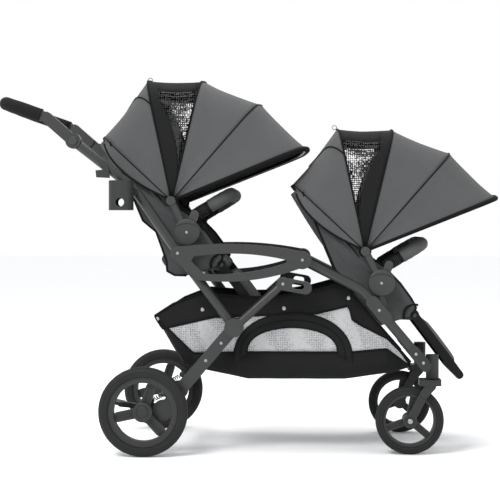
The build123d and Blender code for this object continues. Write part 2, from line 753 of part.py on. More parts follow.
def frame_screws():
    """Screws on the legs, brackets and struts of the rear frame."""
    places = [
        (handle_pivot, loop_outer_reach),
        (fold_pivot, loop_outer_reach),
        (leg_top, loop_inner_reach + 2 * upper_leg_radius),
        (add(leg_hub, (-17 - 20, -45)), leg_outer_reach),
        (add(leg_hub, (-61 - 20, -95)), leg_outer_reach),
    ]
    heads = [screw(point, reach) for point, reach in places]
    return Compound(children=heads + [mirror(head, about=Plane.XZ) for head in heads])


def front_screws():
    """Screws on the front tubes' sleeves and caster brackets."""
    mid = add(front_seat_disc, (-8, -76))
    places = [
        (mid, tube_outer_reach + 2),
        (add(front_tube_end, (-18, 21)), tube_outer_reach + 3),
        (add(front_tube_end, (3, -4)), tube_outer_reach + 3),
    ]
    heads = [screw(point, reach) for point, reach in places]
    return Compound(children=heads + [mirror(head, about=Plane.XZ) for head in heads])


def front_cross_tube():
    """Tube between the two front tubes, behind the leg rest."""
    centre = add(front_tube_end, (-45, 54))
    return disc(centre, cross_tube_radius, -tube_inner_reach, tube_inner_reach, cross_tube_radius - 2)


def rear_spring():
    """Coil spring between the swing arm and the leg."""
    start, end = spring_line()
    length = (end - start).length
    coil = Helix(pitch=length / 5, height=length, radius=6.5)
    wire = sweep(Plane(origin=coil @ 0, z_dir=coil % 0) * Circle(1.4), path=coil, is_frenet=True)
    place = Plane(origin=start, x_dir=(0, 1, 0), z_dir=(end - start).normalized())
    return place * wire


# ---------------------------------------------------------------- assembly
pair("arm_loop", arm_loop())
pair("rear_leg", rear_leg())
nodes["side_struts"] = both(side_strut())
nodes["rear_cross_tube"] = rear_cross_tube()
nodes["basket"] = basket()
nodes["frame_screws"] = frame_screws()
nodes["rear_springs"] = both(rear_spring())
pair("swing_arm", swing_arm())
nodes["swing_arm_right"] = brake_lug(nodes["swing_arm_right"])
nodes["brake_pedal"] = brake_pedal()

pair("front_tube", front_tube())
nodes["front_cross_tube"] = front_cross_tube()
nodes["caster_housings"] = both(caster_housing())
nodes["front_screws"] = front_screws()
pair("caster_fork", caster_fork())
pair("caster_arm", caster_arm())

rear_tyre, rear_rim = wheel_parts(rear_axle, rear_wheel_reach, rear_wheel_radius, rear_tyre_width,
                                  rear_tyre_depth, rear_rim_depth, 26, 38, pin_radius, 72)
pair("rear_tyre", rear_tyre)
pair("rear_rim", rear_rim)
front_tyre, front_rim = wheel_parts(front_axle, caster_reach, front_wheel_radius, front_tyre_width,
                                    front_tyre_depth, front_rim_depth, 19, 44, 5, 80)
pair("front_tyre", front_tyre)
pair("front_rim", front_rim)

pair("handle_tube", handle_tube())
nodes["latch_hooks"] = both(latch_hook())
nodes["cup_holder"] = cup_holder()
nodes["handle_bar"] = handle_bar()
nodes["foam_grip"] = foam_grip()
pair("handle_button", handle_button())

build_seat("rear", seat_disc)
build_seat("front", front_seat_disc)

os.makedirs("parts", exist_ok=True)
for name, piece in nodes.items():
    export_step(piece, os.path.join("parts", name + ".step"))
print(len(nodes), "nodes")
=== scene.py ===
"""Tandem folding stroller: fabric, foam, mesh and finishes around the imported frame."""

import json
import logging
import math
from dataclasses import dataclass, field
from enum import Enum
from typing import Callable, Dict, List, Optional, Sequence, Tuple

import bmesh
import bpy
from mathutils import Matrix, Vector


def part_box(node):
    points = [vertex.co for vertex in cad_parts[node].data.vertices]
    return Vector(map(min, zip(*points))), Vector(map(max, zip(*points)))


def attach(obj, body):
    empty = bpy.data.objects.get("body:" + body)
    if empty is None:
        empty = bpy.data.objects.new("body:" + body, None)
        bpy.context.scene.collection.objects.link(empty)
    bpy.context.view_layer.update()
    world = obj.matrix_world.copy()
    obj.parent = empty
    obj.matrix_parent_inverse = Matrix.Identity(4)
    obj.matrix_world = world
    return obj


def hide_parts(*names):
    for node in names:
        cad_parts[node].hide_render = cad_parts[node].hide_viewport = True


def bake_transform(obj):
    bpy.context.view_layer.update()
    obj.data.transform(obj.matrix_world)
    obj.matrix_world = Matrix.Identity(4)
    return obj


log = logging.getLogger("stroller")
Point = Tuple[float, float, float]
Flat = Tuple[float, float]

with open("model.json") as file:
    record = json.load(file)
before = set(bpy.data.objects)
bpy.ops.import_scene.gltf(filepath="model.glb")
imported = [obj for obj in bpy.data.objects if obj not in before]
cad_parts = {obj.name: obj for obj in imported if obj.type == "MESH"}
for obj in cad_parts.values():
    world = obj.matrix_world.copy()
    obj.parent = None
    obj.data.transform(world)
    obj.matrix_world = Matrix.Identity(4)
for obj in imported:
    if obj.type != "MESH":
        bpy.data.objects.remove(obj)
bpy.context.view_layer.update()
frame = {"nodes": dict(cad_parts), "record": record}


# ---------------------------------------------------------------- shared shader effects
class Effect:
    """Shader node groups that several finishes share, each built once."""

    _made: Dict[str, bpy.types.NodeTree] = {}

    @classmethod
    def get(cls, name: str, maker: Callable[[bpy.types.NodeTree], None]) -> bpy.types.NodeTree:
        """Return the group of that name, building it on first use.

        Args:
            name: the group's name.
            maker: fills the empty group with sockets and nodes.

        Returns:
            The node group.
        """
        if name not in cls._made:
            tree = bpy.data.node_groups.new(name, "ShaderNodeTree")
            maker(tree)
            cls._made[name] = tree
        return cls._made[name]


def socket(tree: bpy.types.NodeTree, name: str, way: str, kind: str, value: Optional[object] = None) -> None:
    """Add one named socket to a group.

    Args:
        tree: the group.
        name: the socket's name.
        way: INPUT or OUTPUT.
        kind: Float, Color or Vector.
        value: default value of an input.
    """
    made = tree.interface.new_socket(name, in_out=way, socket_type="NodeSocket" + kind)
    if value is not None:
        made.default_value = value


def node(tree: bpy.types.NodeTree, kind: str, **values: object) -> bpy.types.Node:
    """Add a shader node and set its properties and input sockets.

    Args:
        tree: the node tree.
        kind: the node type's name without its ShaderNode prefix.
        values: properties by name, or inputs by socket name with spaces as underscores.

    Returns:
        The node.
    """
    made = tree.nodes.new(kind if kind.startswith("Node") else "ShaderNode" + kind)
    for key, value in values.items():
        if hasattr(made, key):
            setattr(made, key, value)
        else:
            made.inputs[key.replace("_", " ")].default_value = value
    return made


def math_node(tree: bpy.types.NodeTree, operation: str, first: object, second: object) -> bpy.types.NodeSocket:
    """Add a Math node fed by sockets or numbers.

    Args:
        tree: the node tree.
        operation: the Math node's operation.
        first: first operand, a socket or a number.
        second: second operand, a socket or a number.

    Returns:
        The result socket.
    """
    made = node(tree, "Math", operation=operation)
    for index, item in enumerate((first, second)):
        if isinstance(item, bpy.types.NodeSocket):
            tree.links.new(item, made.inputs[index])
        else:
            made.inputs[index].default_value = item
    return made.outputs[0]


def mix_colour(tree: bpy.types.NodeTree, factor: object, first: object, second: object) -> bpy.types.NodeSocket:
    """Add a colour Mix node.

    Args:
        tree: the node tree.
        factor: socket or number.
        first: colour or socket at factor 0.
        second: colour or socket at factor 1.

    Returns:
        The mixed colour socket.
    """
    made = node(tree, "Mix", data_type="RGBA")
    for index, item in ((0, factor), (6, first), (7, second)):
        if isinstance(item, bpy.types.NodeSocket):
            tree.links.new(item, made.inputs[index])
        else:
            made.inputs[index].default_value = item
    return made.outputs[2]


def make_weave(tree: bpy.types.NodeTree) -> None:
    """Fill the weave group: crossing threads, heathered tone and slubs.

    Args:
        tree: the empty group.
    """
    socket(tree, "Thread Scale", "INPUT", "Float", 900.0)
    socket(tree, "Heather", "INPUT", "Float", 0.5)
    socket(tree, "Dark", "INPUT", "Color", (0.05, 0.05, 0.05, 1.0))
    socket(tree, "Light", "INPUT", "Color", (0.2, 0.2, 0.2, 1.0))
    socket(tree, "Colour", "OUTPUT", "Color")
    socket(tree, "Height", "OUTPUT", "Float")
    socket(tree, "Roughness", "OUTPUT", "Float")
    inp = tree.nodes.new("NodeGroupInput")
    out = tree.nodes.new("NodeGroupOutput")
    coord = node(tree, "TexCoord")
    split = node(tree, "SeparateXYZ")
    tree.links.new(coord.outputs["Object"], split.inputs[0])
    across = math_node(tree, "ADD", split.outputs["X"], split.outputs["Z"])
    down = math_node(tree, "SUBTRACT", split.outputs["Z"], split.outputs["X"])
    down = math_node(tree, "ADD", down, split.outputs["Y"])
    across = math_node(tree, "ADD", across, split.outputs["Y"])
    warp = math_node(tree, "SINE", math_node(tree, "MULTIPLY", across, inp.outputs["Thread Scale"]), 0.0)
    weft = math_node(tree, "SINE", math_node(tree, "MULTIPLY", down, inp.outputs["Thread Scale"]), 0.0)
    cloth = math_node(tree, "MULTIPLY", warp, weft)
    stretch = node(tree, "Mapping", Scale=(1.0, 1.0, 6.0))
    tree.links.new(coord.outputs["Object"], stretch.inputs[0])
    slub = node(tree, "TexNoise", Scale=210.0, Detail=4.0, Roughness=0.7)
    tree.links.new(stretch.outputs[0], slub.inputs["Vector"])
    fine = node(tree, "TexNoise", Scale=620.0, Detail=2.0)
    tree.links.new(coord.outputs["Object"], fine.inputs["Vector"])
    broad = node(tree, "TexNoise", Scale=9.0, Detail=3.0)
    tree.links.new(coord.outputs["Object"], broad.inputs["Vector"])
    mixed = math_node(tree, "ADD", math_node(tree, "MULTIPLY", slub.outputs["Fac"], 0.6),
                      math_node(tree, "MULTIPLY", fine.outputs["Fac"], 0.4))
    centred = math_node(tree, "SUBTRACT", mixed, 0.5)
    tone = math_node(tree, "ADD", math_node(tree, "MULTIPLY", centred, inp.outputs["Heather"]), 0.5)
    tone = math_node(tree, "ADD", tone, math_node(tree, "MULTIPLY", cloth, 0.07))
    soft = math_node(tree, "MULTIPLY", math_node(tree, "SUBTRACT", broad.outputs["Fac"], 0.5), 0.22)
    tone = math_node(tree, "ADD", tone, soft)
    tree.links.new(mix_colour(tree, tone, inp.outputs["Dark"], inp.outputs["Light"]), out.inputs["Colour"])
    height = math_node(tree, "ADD", cloth, math_node(tree, "MULTIPLY", slub.outputs["Fac"], 0.8))
    tree.links.new(height, out.inputs["Height"])
    rough = math_node(tree, "ADD", math_node(tree, "MULTIPLY", mixed, 0.2), 0.74)
    tree.links.new(rough, out.inputs["Roughness"])


def make_grain(tree: bpy.types.NodeTree) -> None:
    """Fill the grain group: a fine surface grain, faint scuffs and a broad change of tone.

    Args:
        tree: the empty group.
    """
    socket(tree, "Grain Scale", "INPUT", "Float", 600.0)
    socket(tree, "Tone", "INPUT", "Color", (0.05, 0.05, 0.05, 1.0))
    socket(tree, "Scuff Tone", "INPUT", "Color", (0.12, 0.12, 0.12, 1.0))
    socket(tree, "Scuffs", "INPUT", "Float", 0.3)
    socket(tree, "Base Roughness", "INPUT", "Float", 0.5)
    socket(tree, "Colour", "OUTPUT", "Color")
    socket(tree, "Height", "OUTPUT", "Float")
    socket(tree, "Roughness", "OUTPUT", "Float")
    inp = tree.nodes.new("NodeGroupInput")
    out = tree.nodes.new("NodeGroupOutput")
    coord = node(tree, "TexCoord")
    grain = node(tree, "TexNoise", Detail=3.0, Roughness=0.6)
    tree.links.new(coord.outputs["Object"], grain.inputs["Vector"])
    tree.links.new(inp.outputs["Grain Scale"], grain.inputs["Scale"])
    broad = node(tree, "TexNoise", Scale=14.0, Detail=4.0)
    tree.links.new(coord.outputs["Object"], broad.inputs["Vector"])
    scratch_map = node(tree, "Mapping", Scale=(1.0, 1.0, 9.0), Rotation=(0.3, 0.6, 0.2))
    tree.links.new(coord.outputs["Object"], scratch_map.inputs[0])
    scratch = node(tree, "TexNoise", Scale=70.0, Detail=6.0, Roughness=0.75)
    tree.links.new(scratch_map.outputs[0], scratch.inputs["Vector"])
    edge = node(tree, "NewGeometry")
    worn = math_node(tree, "MULTIPLY", math_node(tree, "SUBTRACT", edge.outputs["Pointiness"], 0.53), 6.0)
    marks = math_node(tree, "MULTIPLY", math_node(tree, "SUBTRACT", scratch.outputs["Fac"], 0.6), 4.0)
    mask = math_node(tree, "MULTIPLY", math_node(tree, "MAXIMUM", math_node(tree, "MAXIMUM", worn, marks), 0.0),
                     inp.outputs["Scuffs"])
    mask = math_node(tree, "MINIMUM", mask, 1.0)
    tree.links.new(mix_colour(tree, mask, inp.outputs["Tone"], inp.outputs["Scuff Tone"]), out.inputs["Colour"])
    tree.links.new(grain.outputs["Fac"], out.inputs["Height"])
    change = math_node(tree, "MULTIPLY", math_node(tree, "SUBTRACT", broad.outputs["Fac"], 0.5), 0.25)
    rough = math_node(tree, "ADD", inp.outputs["Base Roughness"], change)
    tree.links.new(rough, out.inputs["Roughness"])


# ---------------------------------------------------------------- finishes
def grey(level: float, warmth: float = 0.0) -> Tuple[float, float, float, float]:
    """Return a near-neutral linear colour, slightly warm or cool."""
    return (level * (1 + warmth), level, level * (1 - warmth), 1.0)


@dataclass(frozen=True)
class Finish:
    """One surface finish with fine grain, scuffs and a plain gloss."""

    name: str
    slot: str
    level: float
    roughness: float
    metallic: float = 0.0
    grain_scale: float = 600.0
    bump: float = 0.12
    scuffs: float = 0.25
    scuff_level: float = 0.12
    coat: float = 0.0
    warmth: float = -0.015
    specular: float = 0.3

    def shader(self) -> Tuple[bpy.types.Material, bpy.types.Node]:
        """Return a new material and its Principled node."""
        material = bpy.data.materials.new(self.name)
        material.use_nodes = True
        return material, material.node_tree.nodes["Principled BSDF"]

    def build(self) -> bpy.types.Material:
        """Return the material, made on first use."""
        found = bpy.data.materials.get(self.name)
        if found:
            return found
        material, surface = self.shader()
        tree = material.node_tree
        group = node(tree, "Group")
        group.node_tree = Effect.get("surface_grain", make_grain)
        group.inputs["Grain Scale"].default_value = self.grain_scale
        group.inputs["Tone"].default_value = grey(self.level, self.warmth)
        group.inputs["Scuff Tone"].default_value = grey(self.scuff_level, self.warmth)
        group.inputs["Scuffs"].default_value = self.scuffs
        group.inputs["Base Roughness"].default_value = self.roughness
        surface.inputs["Metallic"].default_value = self.metallic
        surface.inputs["Coat Weight"].default_value = self.coat
        surface.inputs["Coat Roughness"].default_value = 0.3
        surface.inputs["Specular IOR Level"].default_value = self.specular
        bump = node(tree, "Bump", Strength=self.bump, Distance=0.0004)
        tree.links.new(group.outputs["Colour"], surface.inputs["Base Color"])
        tree.links.new(group.outputs["Roughness"], surface.inputs["Roughness"])
        tree.links.new(group.outputs["Height"], bump.inputs["Height"])
        tree.links.new(bump.outputs[0], surface.inputs["Normal"])
        return material


@dataclass(frozen=True)
class Cloth(Finish):
    """Woven cloth with crossing threads, heathered tone and a soft sheen."""

    light: float = 0.2
    thread_scale: float = 2600.0
    heather: float = 1.2
    sheen: float = 0.25

    def build(self) -> bpy.types.Material:
        """Return the cloth material, made on first use."""
        found = bpy.data.materials.get(self.name)
        if found:
            return found
        material, surface = self.shader()
        tree = material.node_tree
        group = node(tree, "Group")
        group.node_tree = Effect.get("woven_cloth", make_weave)
        group.inputs["Thread Scale"].default_value = self.thread_scale
        group.inputs["Heather"].default_value = self.heather
        group.inputs["Dark"].default_value = grey(self.level, self.warmth)
        group.inputs["Light"].default_value = grey(self.light, self.warmth)
        surface.inputs["Sheen Weight"].default_value = self.sheen
        surface.inputs["Sheen Roughness"].default_value = 0.5
        surface.inputs["Specular IOR Level"].default_value = 0.12
        bump = node(tree, "Bump", Strength=self.bump, Distance=0.0006)
        tree.links.new(group.outputs["Colour"], surface.inputs["Base Color"])
        tree.links.new(group.outputs["Roughness"], surface.inputs["Roughness"])
        tree.links.new(group.outputs["Height"], bump.inputs["Height"])
        tree.links.new(bump.outputs[0], surface.inputs["Normal"])
        return material


@dataclass(frozen=True)
class Netting(Finish):
    """Open net: round holes between knitted threads, see-through in the holes."""

    pitch: float = 0.0042
    hole: float = 0.36
    veil: float = 0.0

    def build(self) -> bpy.types.Material:
        """Return the net material, made on first use."""
        found = bpy.data.materials.get(self.name)
        if found:
            return found
        material, surface = self.shader()
        tree = material.node_tree
        coord = node(tree, "TexCoord")
        cells = node(tree, "TexVoronoi", Scale=1.0 / self.pitch, Randomness=0.25)
        tree.links.new(coord.outputs["Object"], cells.inputs["Vector"])
        solid = math_node(tree, "GREATER_THAN", cells.outputs["Distance"], self.hole)
        alpha = math_node(tree, "MAXIMUM", solid, self.veil)
        group = node(tree, "Group")
        group.node_tree = Effect.get("surface_grain", make_grain)
        group.inputs["Tone"].default_value = grey(self.level, self.warmth)
        group.inputs["Scuff Tone"].default_value = grey(self.scuff_level, self.warmth)
        group.inputs["Base Roughness"].default_value = self.roughness
        bump = node(tree, "Bump", Strength=0.4, Distance=0.0006)
        tree.links.new(cells.outputs["Distance"], bump.inputs["Height"])
        tree.links.new(group.outputs["Colour"], surface.inputs["Base Color"])
        tree.links.new(group.outputs["Roughness"], surface.inputs["Roughness"])
        tree.links.new(alpha, surface.inputs["Alpha"])
        tree.links.new(bump.outputs[0], surface.inputs["Normal"])
        return material


PAINT = Finish("charcoal_paint", "frame_tube", 0.020, 0.40, 0.30, 1400.0, 0.06, 0.15, 0.06, 0.10, specular=0.5)
MOULDING = Finish("dark_nylon", "dark_moulding", 0.016, 0.50, 0.0, 1500.0, 0.18, 0.22, 0.04)
HUB_PLASTIC = Finish("hub_plastic", "dark_moulding", 0.030, 0.46, 0.0, 1500.0, 0.15, 0.2, 0.06)
STEEL = Finish("zinc_steel", "steel", 0.32, 0.36, 1.0, 900.0, 0.05, 0.3, 0.22)
SPRING = Finish("spring_steel", "spring_steel", 0.10, 0.35, 1.0, 900.0, 0.05, 0.3, 0.25)
TYRE = Finish("tyre_rubber", "rubber", 0.014, 0.70, 0.0, 700.0, 0.35, 0.35, 0.03, specular=0.2)
RIM = Finish("rim_nylon", "rim_plastic", 0.016, 0.48, 0.0, 1500.0, 0.15, 0.25, 0.04)
FOAM = Finish("grip_foam", "foam", 0.008, 0.85, 0.0, 1900.0, 0.7, 0.2, 0.02, specular=0.12)
BUTTON = Finish("button_plastic", "button_plastic", 0.05, 0.38, 0.0, 1500.0, 0.1, 0.2, 0.09)
GREY_CLOTH = Cloth("grey_heather", "grey_fabric", 0.040, 0.8, bump=0.32, light=0.100, sheen=0.06)
SIDE_CLOTH = Cloth("grey_side", "grey_fabric", 0.032, 0.8, bump=0.32, light=0.080, sheen=0.05)
BLACK_CLOTH = Cloth("black_canvas", "black_fabric", 0.004, 0.8, bump=0.35, light=0.014, thread_scale=2100.0, sheen=0.02)
BINDING = Cloth("black_binding", "black_fabric", 0.002, 0.8, bump=0.3, light=0.007, thread_scale=3400.0, sheen=0.01)
WEBBING = Cloth("harness_webbing", "black_fabric", 0.005, 0.7, bump=0.5, light=0.020, thread_scale=1500.0, sheen=0.03)
WINDOW_NET = Netting("window_net", "black_fabric", 0.006, 0.7, scuff_level=0.02, pitch=0.0062, hole=0.52)
BASKET_NET = Netting("basket_net", "black_fabric", 0.34, 0.75, scuff_level=0.2, pitch=0.0052, hole=0.40, veil=0.45)
THREAD = Finish("seam_thread", "grey_fabric", 0.07, 0.8, 0.0, 900.0, 0.3, 0.0, 0.12)


# ---------------------------------------------------------------- mesh helpers, sizes in millimetres
MM = 0.001
TAU = 2 * math.pi


def polar(centre: Flat, radius: float, angle: float) -> Flat:
    """Return the side-view point at a radius and an angle in degrees from a centre."""
    turn = math.radians(angle)
    return (centre[0] + radius * math.cos(turn), centre[1] + radius * math.sin(turn))


def lerp(first: Sequence[float], second: Sequence[float], part: float) -> Tuple[float, ...]:
    """Return the point a part of the way from one point to another."""
    return tuple(a + (b - a) * part for a, b in zip(first, second))


def rounded(points: Sequence[Sequence[float]], radii: Sequence[float], runs: int, turns: int) -> List[Vector]:
    """Sample an open polyline whose inner corners are rounded.

    Args:
        points: the polyline's points.
        radii: one corner radius per inner point.
        runs: samples along each straight run.
        turns: samples along each corner.

    Returns:
        The samples, the same number for any sizes.
    """
    line = [Vector(p) for p in points]
    arcs = []
    for index, radius in enumerate(radii, 1):
        corner = line[index]
        back = (line[index - 1] - corner).normalized()
        ahead = (line[index + 1] - corner).normalized()
        half = back.angle(ahead) / 2
        reach = radius / math.tan(half)
        centre = corner + (back + ahead).normalized() * (radius / math.sin(half))
        first = corner + back * reach - centre
        last = corner + ahead * reach - centre
        sweep = first.angle(last)
        arc = []
        for step in range(turns + 1):
            part = step / turns
            a = math.sin((1 - part) * sweep) / math.sin(sweep)
            b = math.sin(part * sweep) / math.sin(sweep)
            arc.append(centre + first * a + last * b)
        arcs.append(arc)
    result: List[Vector] = []
    start = line[0]
    for arc in arcs:
        result += [start.lerp(arc[0], step / runs) for step in range(runs)]
        result += arc[:-1]
        start = arc[-1]
    result += [start.lerp(line[-1], step / runs) for step in range(runs + 1)]
    return result


def mesh_object(name: str, points: Sequence[Sequence[float]], faces: Sequence[Sequence[int]],
                finish: Finish) -> bpy.types.Object:
    """Make a smooth-shaded mesh object from points in millimetres.

    Args:
        name: the piece's name.
        points: vertex positions.
        faces: vertex indices of each face.
        finish: the finish it wears.

    Returns:
        The object, linked into the scene.
    """
    mesh = bpy.data.meshes.new(name)
    mesh.from_pydata([tuple(c * MM for c in p) for p in points], [], [list(f) for f in faces])
    tidy = bmesh.new()
    tidy.from_mesh(mesh)
    bmesh.ops.remove_doubles(tidy, verts=tidy.verts, dist=1e-6)
    bmesh.ops.recalc_face_normals(tidy, faces=tidy.faces)
    tidy.to_mesh(mesh)
    tidy.free()
    for face in mesh.polygons:
        face.use_smooth = True
    obj = bpy.data.objects.new(name, mesh)
    bpy.context.scene.collection.objects.link(obj)
    wear(obj, finish)
    return obj


def wear(obj: bpy.types.Object, finish: Finish) -> None:
    """Give a piece its finish."""
    obj.data.materials.clear()
    obj.data.materials.append(finish.build())


def bake(obj: bpy.types.Object) -> bpy.types.Object:
    """Apply every modifier of a piece to its mesh."""
    graph = bpy.context.evaluated_depsgraph_get()
    graph.update()
    mesh = bpy.data.meshes.new_from_object(obj.evaluated_get(graph))
    obj.modifiers.clear()
    obj.data = mesh
    return obj


def thicken(obj: bpy.types.Object, thickness: float, levels: int = 0, offset: float = -1.0) -> bpy.types.Object:
    """Give a sheet its thickness and subdivide it, applied to the mesh.

    Args:
        obj: the sheet.
        thickness: in millimetres.
        levels: subdivision levels.
        offset: -1 grows it inward, 0 both ways.

    Returns:
        The same object.
    """
    if levels:
        smooth = obj.modifiers.new("smooth", "SUBSURF")
        smooth.levels = smooth.render_levels = levels
    solid = obj.modifiers.new("thickness", "SOLIDIFY")
    solid.thickness = thickness * MM
    solid.offset = offset
    bake(obj)
    for face in obj.data.polygons:
        face.use_smooth = True
    return obj


def grid_faces(rows: int, columns: int, closed: bool = False) -> List[Tuple[int, int, int, int]]:
    """Return the quads of a grid of points laid out row by row.

    Args:
        rows: number of rows.
        columns: points in each row.
        closed: True where each row closes on itself.

    Returns:
        Vertex indices of each quad.
    """
    faces = []
    for i in range(rows - 1):
        for j in range(columns if closed else columns - 1):
            k = (j + 1) % columns
            faces.append((i * columns + j, i * columns + k, (i + 1) * columns + k, (i + 1) * columns + j))
    return faces


def grid_sheet(name: str, rows: Sequence[Sequence[Sequence[float]]], finish: Finish,
               thickness: float = 1.2) -> bpy.types.Object:
    """Make a thin sheet through rows of points.

    Args:
        name: the piece's name.
        rows: rows of points, all as long as each other.
        finish: the finish it wears.
        thickness: in millimetres.

    Returns:
        The sheet.
    """
    points = [p for row in rows for p in row]
    obj = mesh_object(name, points, grid_faces(len(rows), len(rows[0])), finish)
    return thicken(obj, thickness, offset=0.0)


def tube(name: str, path: Sequence[Sequence[float]], radius: object, finish: Finish, flat: float = 1.0,
         sides: int = 12, up: Point = (0, 1, 0)) -> bpy.types.Object:
    """Sweep a round or flattened section along a path, closed at both ends.

    Args:
        name: the piece's name.
        path: points of its middle line.
        radius: half its width, a number or one number per point.
        finish: the finish it wears.
        flat: its thickness as a part of its width.
        sides: points round the section.
        up: the direction across its width at the start.

    Returns:
        The swept piece.
    """
    line = [Vector(p) for p in path]
    widths = radius if isinstance(radius, (list, tuple)) else [radius] * len(line)
    points: List[Vector] = []
    across = Vector(up)
    for index, point in enumerate(line):
        ahead = line[min(index + 1, len(line) - 1)] - line[max(index - 1, 0)]
        ahead.normalize()
        across = (across - ahead * across.dot(ahead)).normalized()
        out = ahead.cross(across)
        for step in range(sides):
            turn = TAU * step / sides
            points.append(point + (across * math.cos(turn) + out * (math.sin(turn) * flat)) * widths[index])
    faces = [tuple(f) for f in grid_faces(len(line), sides, closed=True)]
    faces.append(tuple(range(sides)))
    faces.append(tuple(range((len(line) - 1) * sides, len(line) * sides)))
    return mesh_object(name, points, faces, finish)


def follow_hinge(obj: bpy.types.Object) -> None:
    """Apply a cloth's placement to its mesh.

    Args:
        obj: the cloth.
    """
    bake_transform(obj)


class Window(Enum):
    """Which bow the see-through net of a canopy lies against."""

    BESIDE_SECOND_BOW = "second"
    BESIDE_FIXED_BOW = "fixed"


@dataclass
class Canopy:
    """Folding sun canopy of one seat: cloth panels stretched over turning bows."""

    prefix: str
    base: str
    disc: Flat
    window: Window
    hub_offset: Flat = (-46.0, 91.0)
    angles: Tuple[float, ...] = (137.0, 102.0, 76.7, 48.7, 21.9)
    reaches: Tuple[float, ...] = (290.0, 373.0, 372.0, 389.0, 425.0)
    half_width: float = 217.0
    start: float = 6.0
    crown_rise: float = 20.0
    corner: float = 78.0
    sag: float = 5.0
    runs: int = 9
    turns: int = 7
    pieces: List[bpy.types.Object] = field(default_factory=list)

    @property
    def hub(self) -> Flat:
        """Side-view place of the canopy's hub."""
        return (self.disc[0] + self.hub_offset[0], self.disc[1] + self.hub_offset[1])

    @property
    def bodies(self) -> Tuple[str, ...]:
        """The body of each bow, from the back to the front."""
        moving = [self.prefix + "_canopy_bow_" + name for name in ("second", "third", "front")]
        return (self.prefix + "_seat_back", self.base, *moving)

    def arch(self, index: int, grow: float = 0.0) -> List[Vector]:
        """Return the cloth's line over one bow.

        Args:
            index: the bow's place from the back.
            grow: how far it stands off the bow's own line.

        Returns:
            Points from the right hub over the crown to the left hub.
        """
        reach = self.reaches[index] + grow
        width = self.half_width + grow
        low = reach - self.crown_rise
        local = rounded([(self.start, -width), (low, -width), (reach, 0), (low, width), (self.start, width)],
                        [self.corner, 600.0, self.corner], self.runs, self.turns)
        turn = math.radians(self.angles[index])
        return [Vector((self.hub[0] + p.x * math.cos(turn), p.y, self.hub[1] + p.x * math.sin(turn))) for p in local]

    def span(self, name: str, index: int, edges: Callable[[float], Flat], finish: Finish,
             places: Optional[range] = None, steps: int = 12, thickness: float = 1.2) -> bpy.types.Object:
        """Build the part of a panel between two lines.

        Args:
            name: the piece's name without the seat's prefix.
            index: the panel's first bow.
            edges: gives the two parts of the way between the bows for a height from 0 to 1.
            finish: the cloth.
            places: the points of the arch that it covers.
            steps: rows between the bows.
            thickness: in millimetres.

        Returns:
            The piece.
        """
        count = len(self.arch(index))
        rows = []
        arches = (self.arch(index), self.arch(index + 1))
        for step in range(steps + 1):
            row = []
            for place in places or range(count):
                height = 1 - abs(2 * place / (count - 1) - 1)
                low, high = edges(height)
                part = low + (high - low) * step / steps
                row.append(self.between(arches, part, place, index))
            rows.append(row)
        obj = grid_sheet(self.prefix + "_" + name, rows, finish, thickness)
        self.bend(obj, index)
        return obj

    def between(self, arches: Tuple[List[Vector], List[Vector]], part: float, place: int, index: int) -> Vector:
        """Return a point of the cloth between two bows, drawn in towards the hub and faintly creased."""
        point = arches[0][place].lerp(arches[1][place], part)
        middle = Vector((self.hub[0], 0, self.hub[1])) - point
        pull = self.sag * 4 * part * (1 - part) * min(1.0, middle.length / 300.0)
        ripple = math.sin(point.y * 0.05 + part * 7 + index) * math.sin(part * math.pi) * 1.1
        return point + middle.normalized() * (pull + ripple)

    def bend(self, obj: bpy.types.Object, index: int) -> None:
        """Apply a piece's placement to its mesh."""
        follow_hinge(obj)

    def seam(self, name: str, index: int, body_index: int, radius: float, finish: Finish,
             grow: float = 1.0) -> bpy.types.Object:
        """Lay a cord of piping over one bow, riding with it."""
        obj = tube(self.prefix + "_" + name, self.arch(index, grow), radius, finish, sides=8)
        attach(obj, self.bodies[body_index])
        return obj

    def build(self) -> None:
        """Build the panels, the net, the bindings and the small loop."""
        whole = lambda height: (0.0, 1.0)
        if self.window is Window.BESIDE_SECOND_BOW:
            net = lambda h: (1.0 - 0.80 * self.opening(h), 1.0)
            flap = lambda h: (0.0, 1.0 - 0.80 * self.opening(h))
        else:
            net = lambda h: (0.0, 0.80 * self.opening(h))
            flap = lambda h: (0.80 * self.opening(h), 1.0)
        count = len(self.arch(0))
        back = self.span("canopy_panel_back", 0, whole, GREY_CLOTH)
        self.pieces = [
            back,
            self.span("canopy_flap", 1, flap, BLACK_CLOTH, steps=6),
            self.span("canopy_panel_middle", 2, whole, GREY_CLOTH),
            self.span("canopy_panel_front", 3, whole, GREY_CLOTH),
        ]
        side = self.runs + 4
        self.pieces.append(self.span("canopy_net_right", 1, net, WINDOW_NET, range(3, side), 6, 0.5))
        self.pieces.append(self.span("canopy_net_left", 1, net, WINDOW_NET, range(count - side, count - 3), 6, 0.5))
        self.pieces.append(self.span("canopy_top_band", 1, net, BLACK_CLOTH, range(side - 1, count - side + 1), 6))
        self.seam("canopy_piping_fixed", 1, 1, 2.6, BINDING)
        self.seam("canopy_piping_second", 2, 2, 3.0, BINDING)
        self.seam("canopy_piping_third", 3, 3, 1.5, BINDING)
        self.front_binding()
        self.valance()
        self.hub_binding()
        self.back_piping()
        self.skirt()
        self.hang_loop()
        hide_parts(self.prefix + "_canopy_back_cloth")
        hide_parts(self.prefix + "_canopy_cloth")
        log.info("%s canopy: %d panels", self.prefix, len(self.pieces))

    @staticmethod
    def opening(height: float) -> float:
        """Return how wide the net's wedge is at a height from the hub to the crown."""
        return min(max((height - 0.07) / 0.27, 0.02), 1.0)

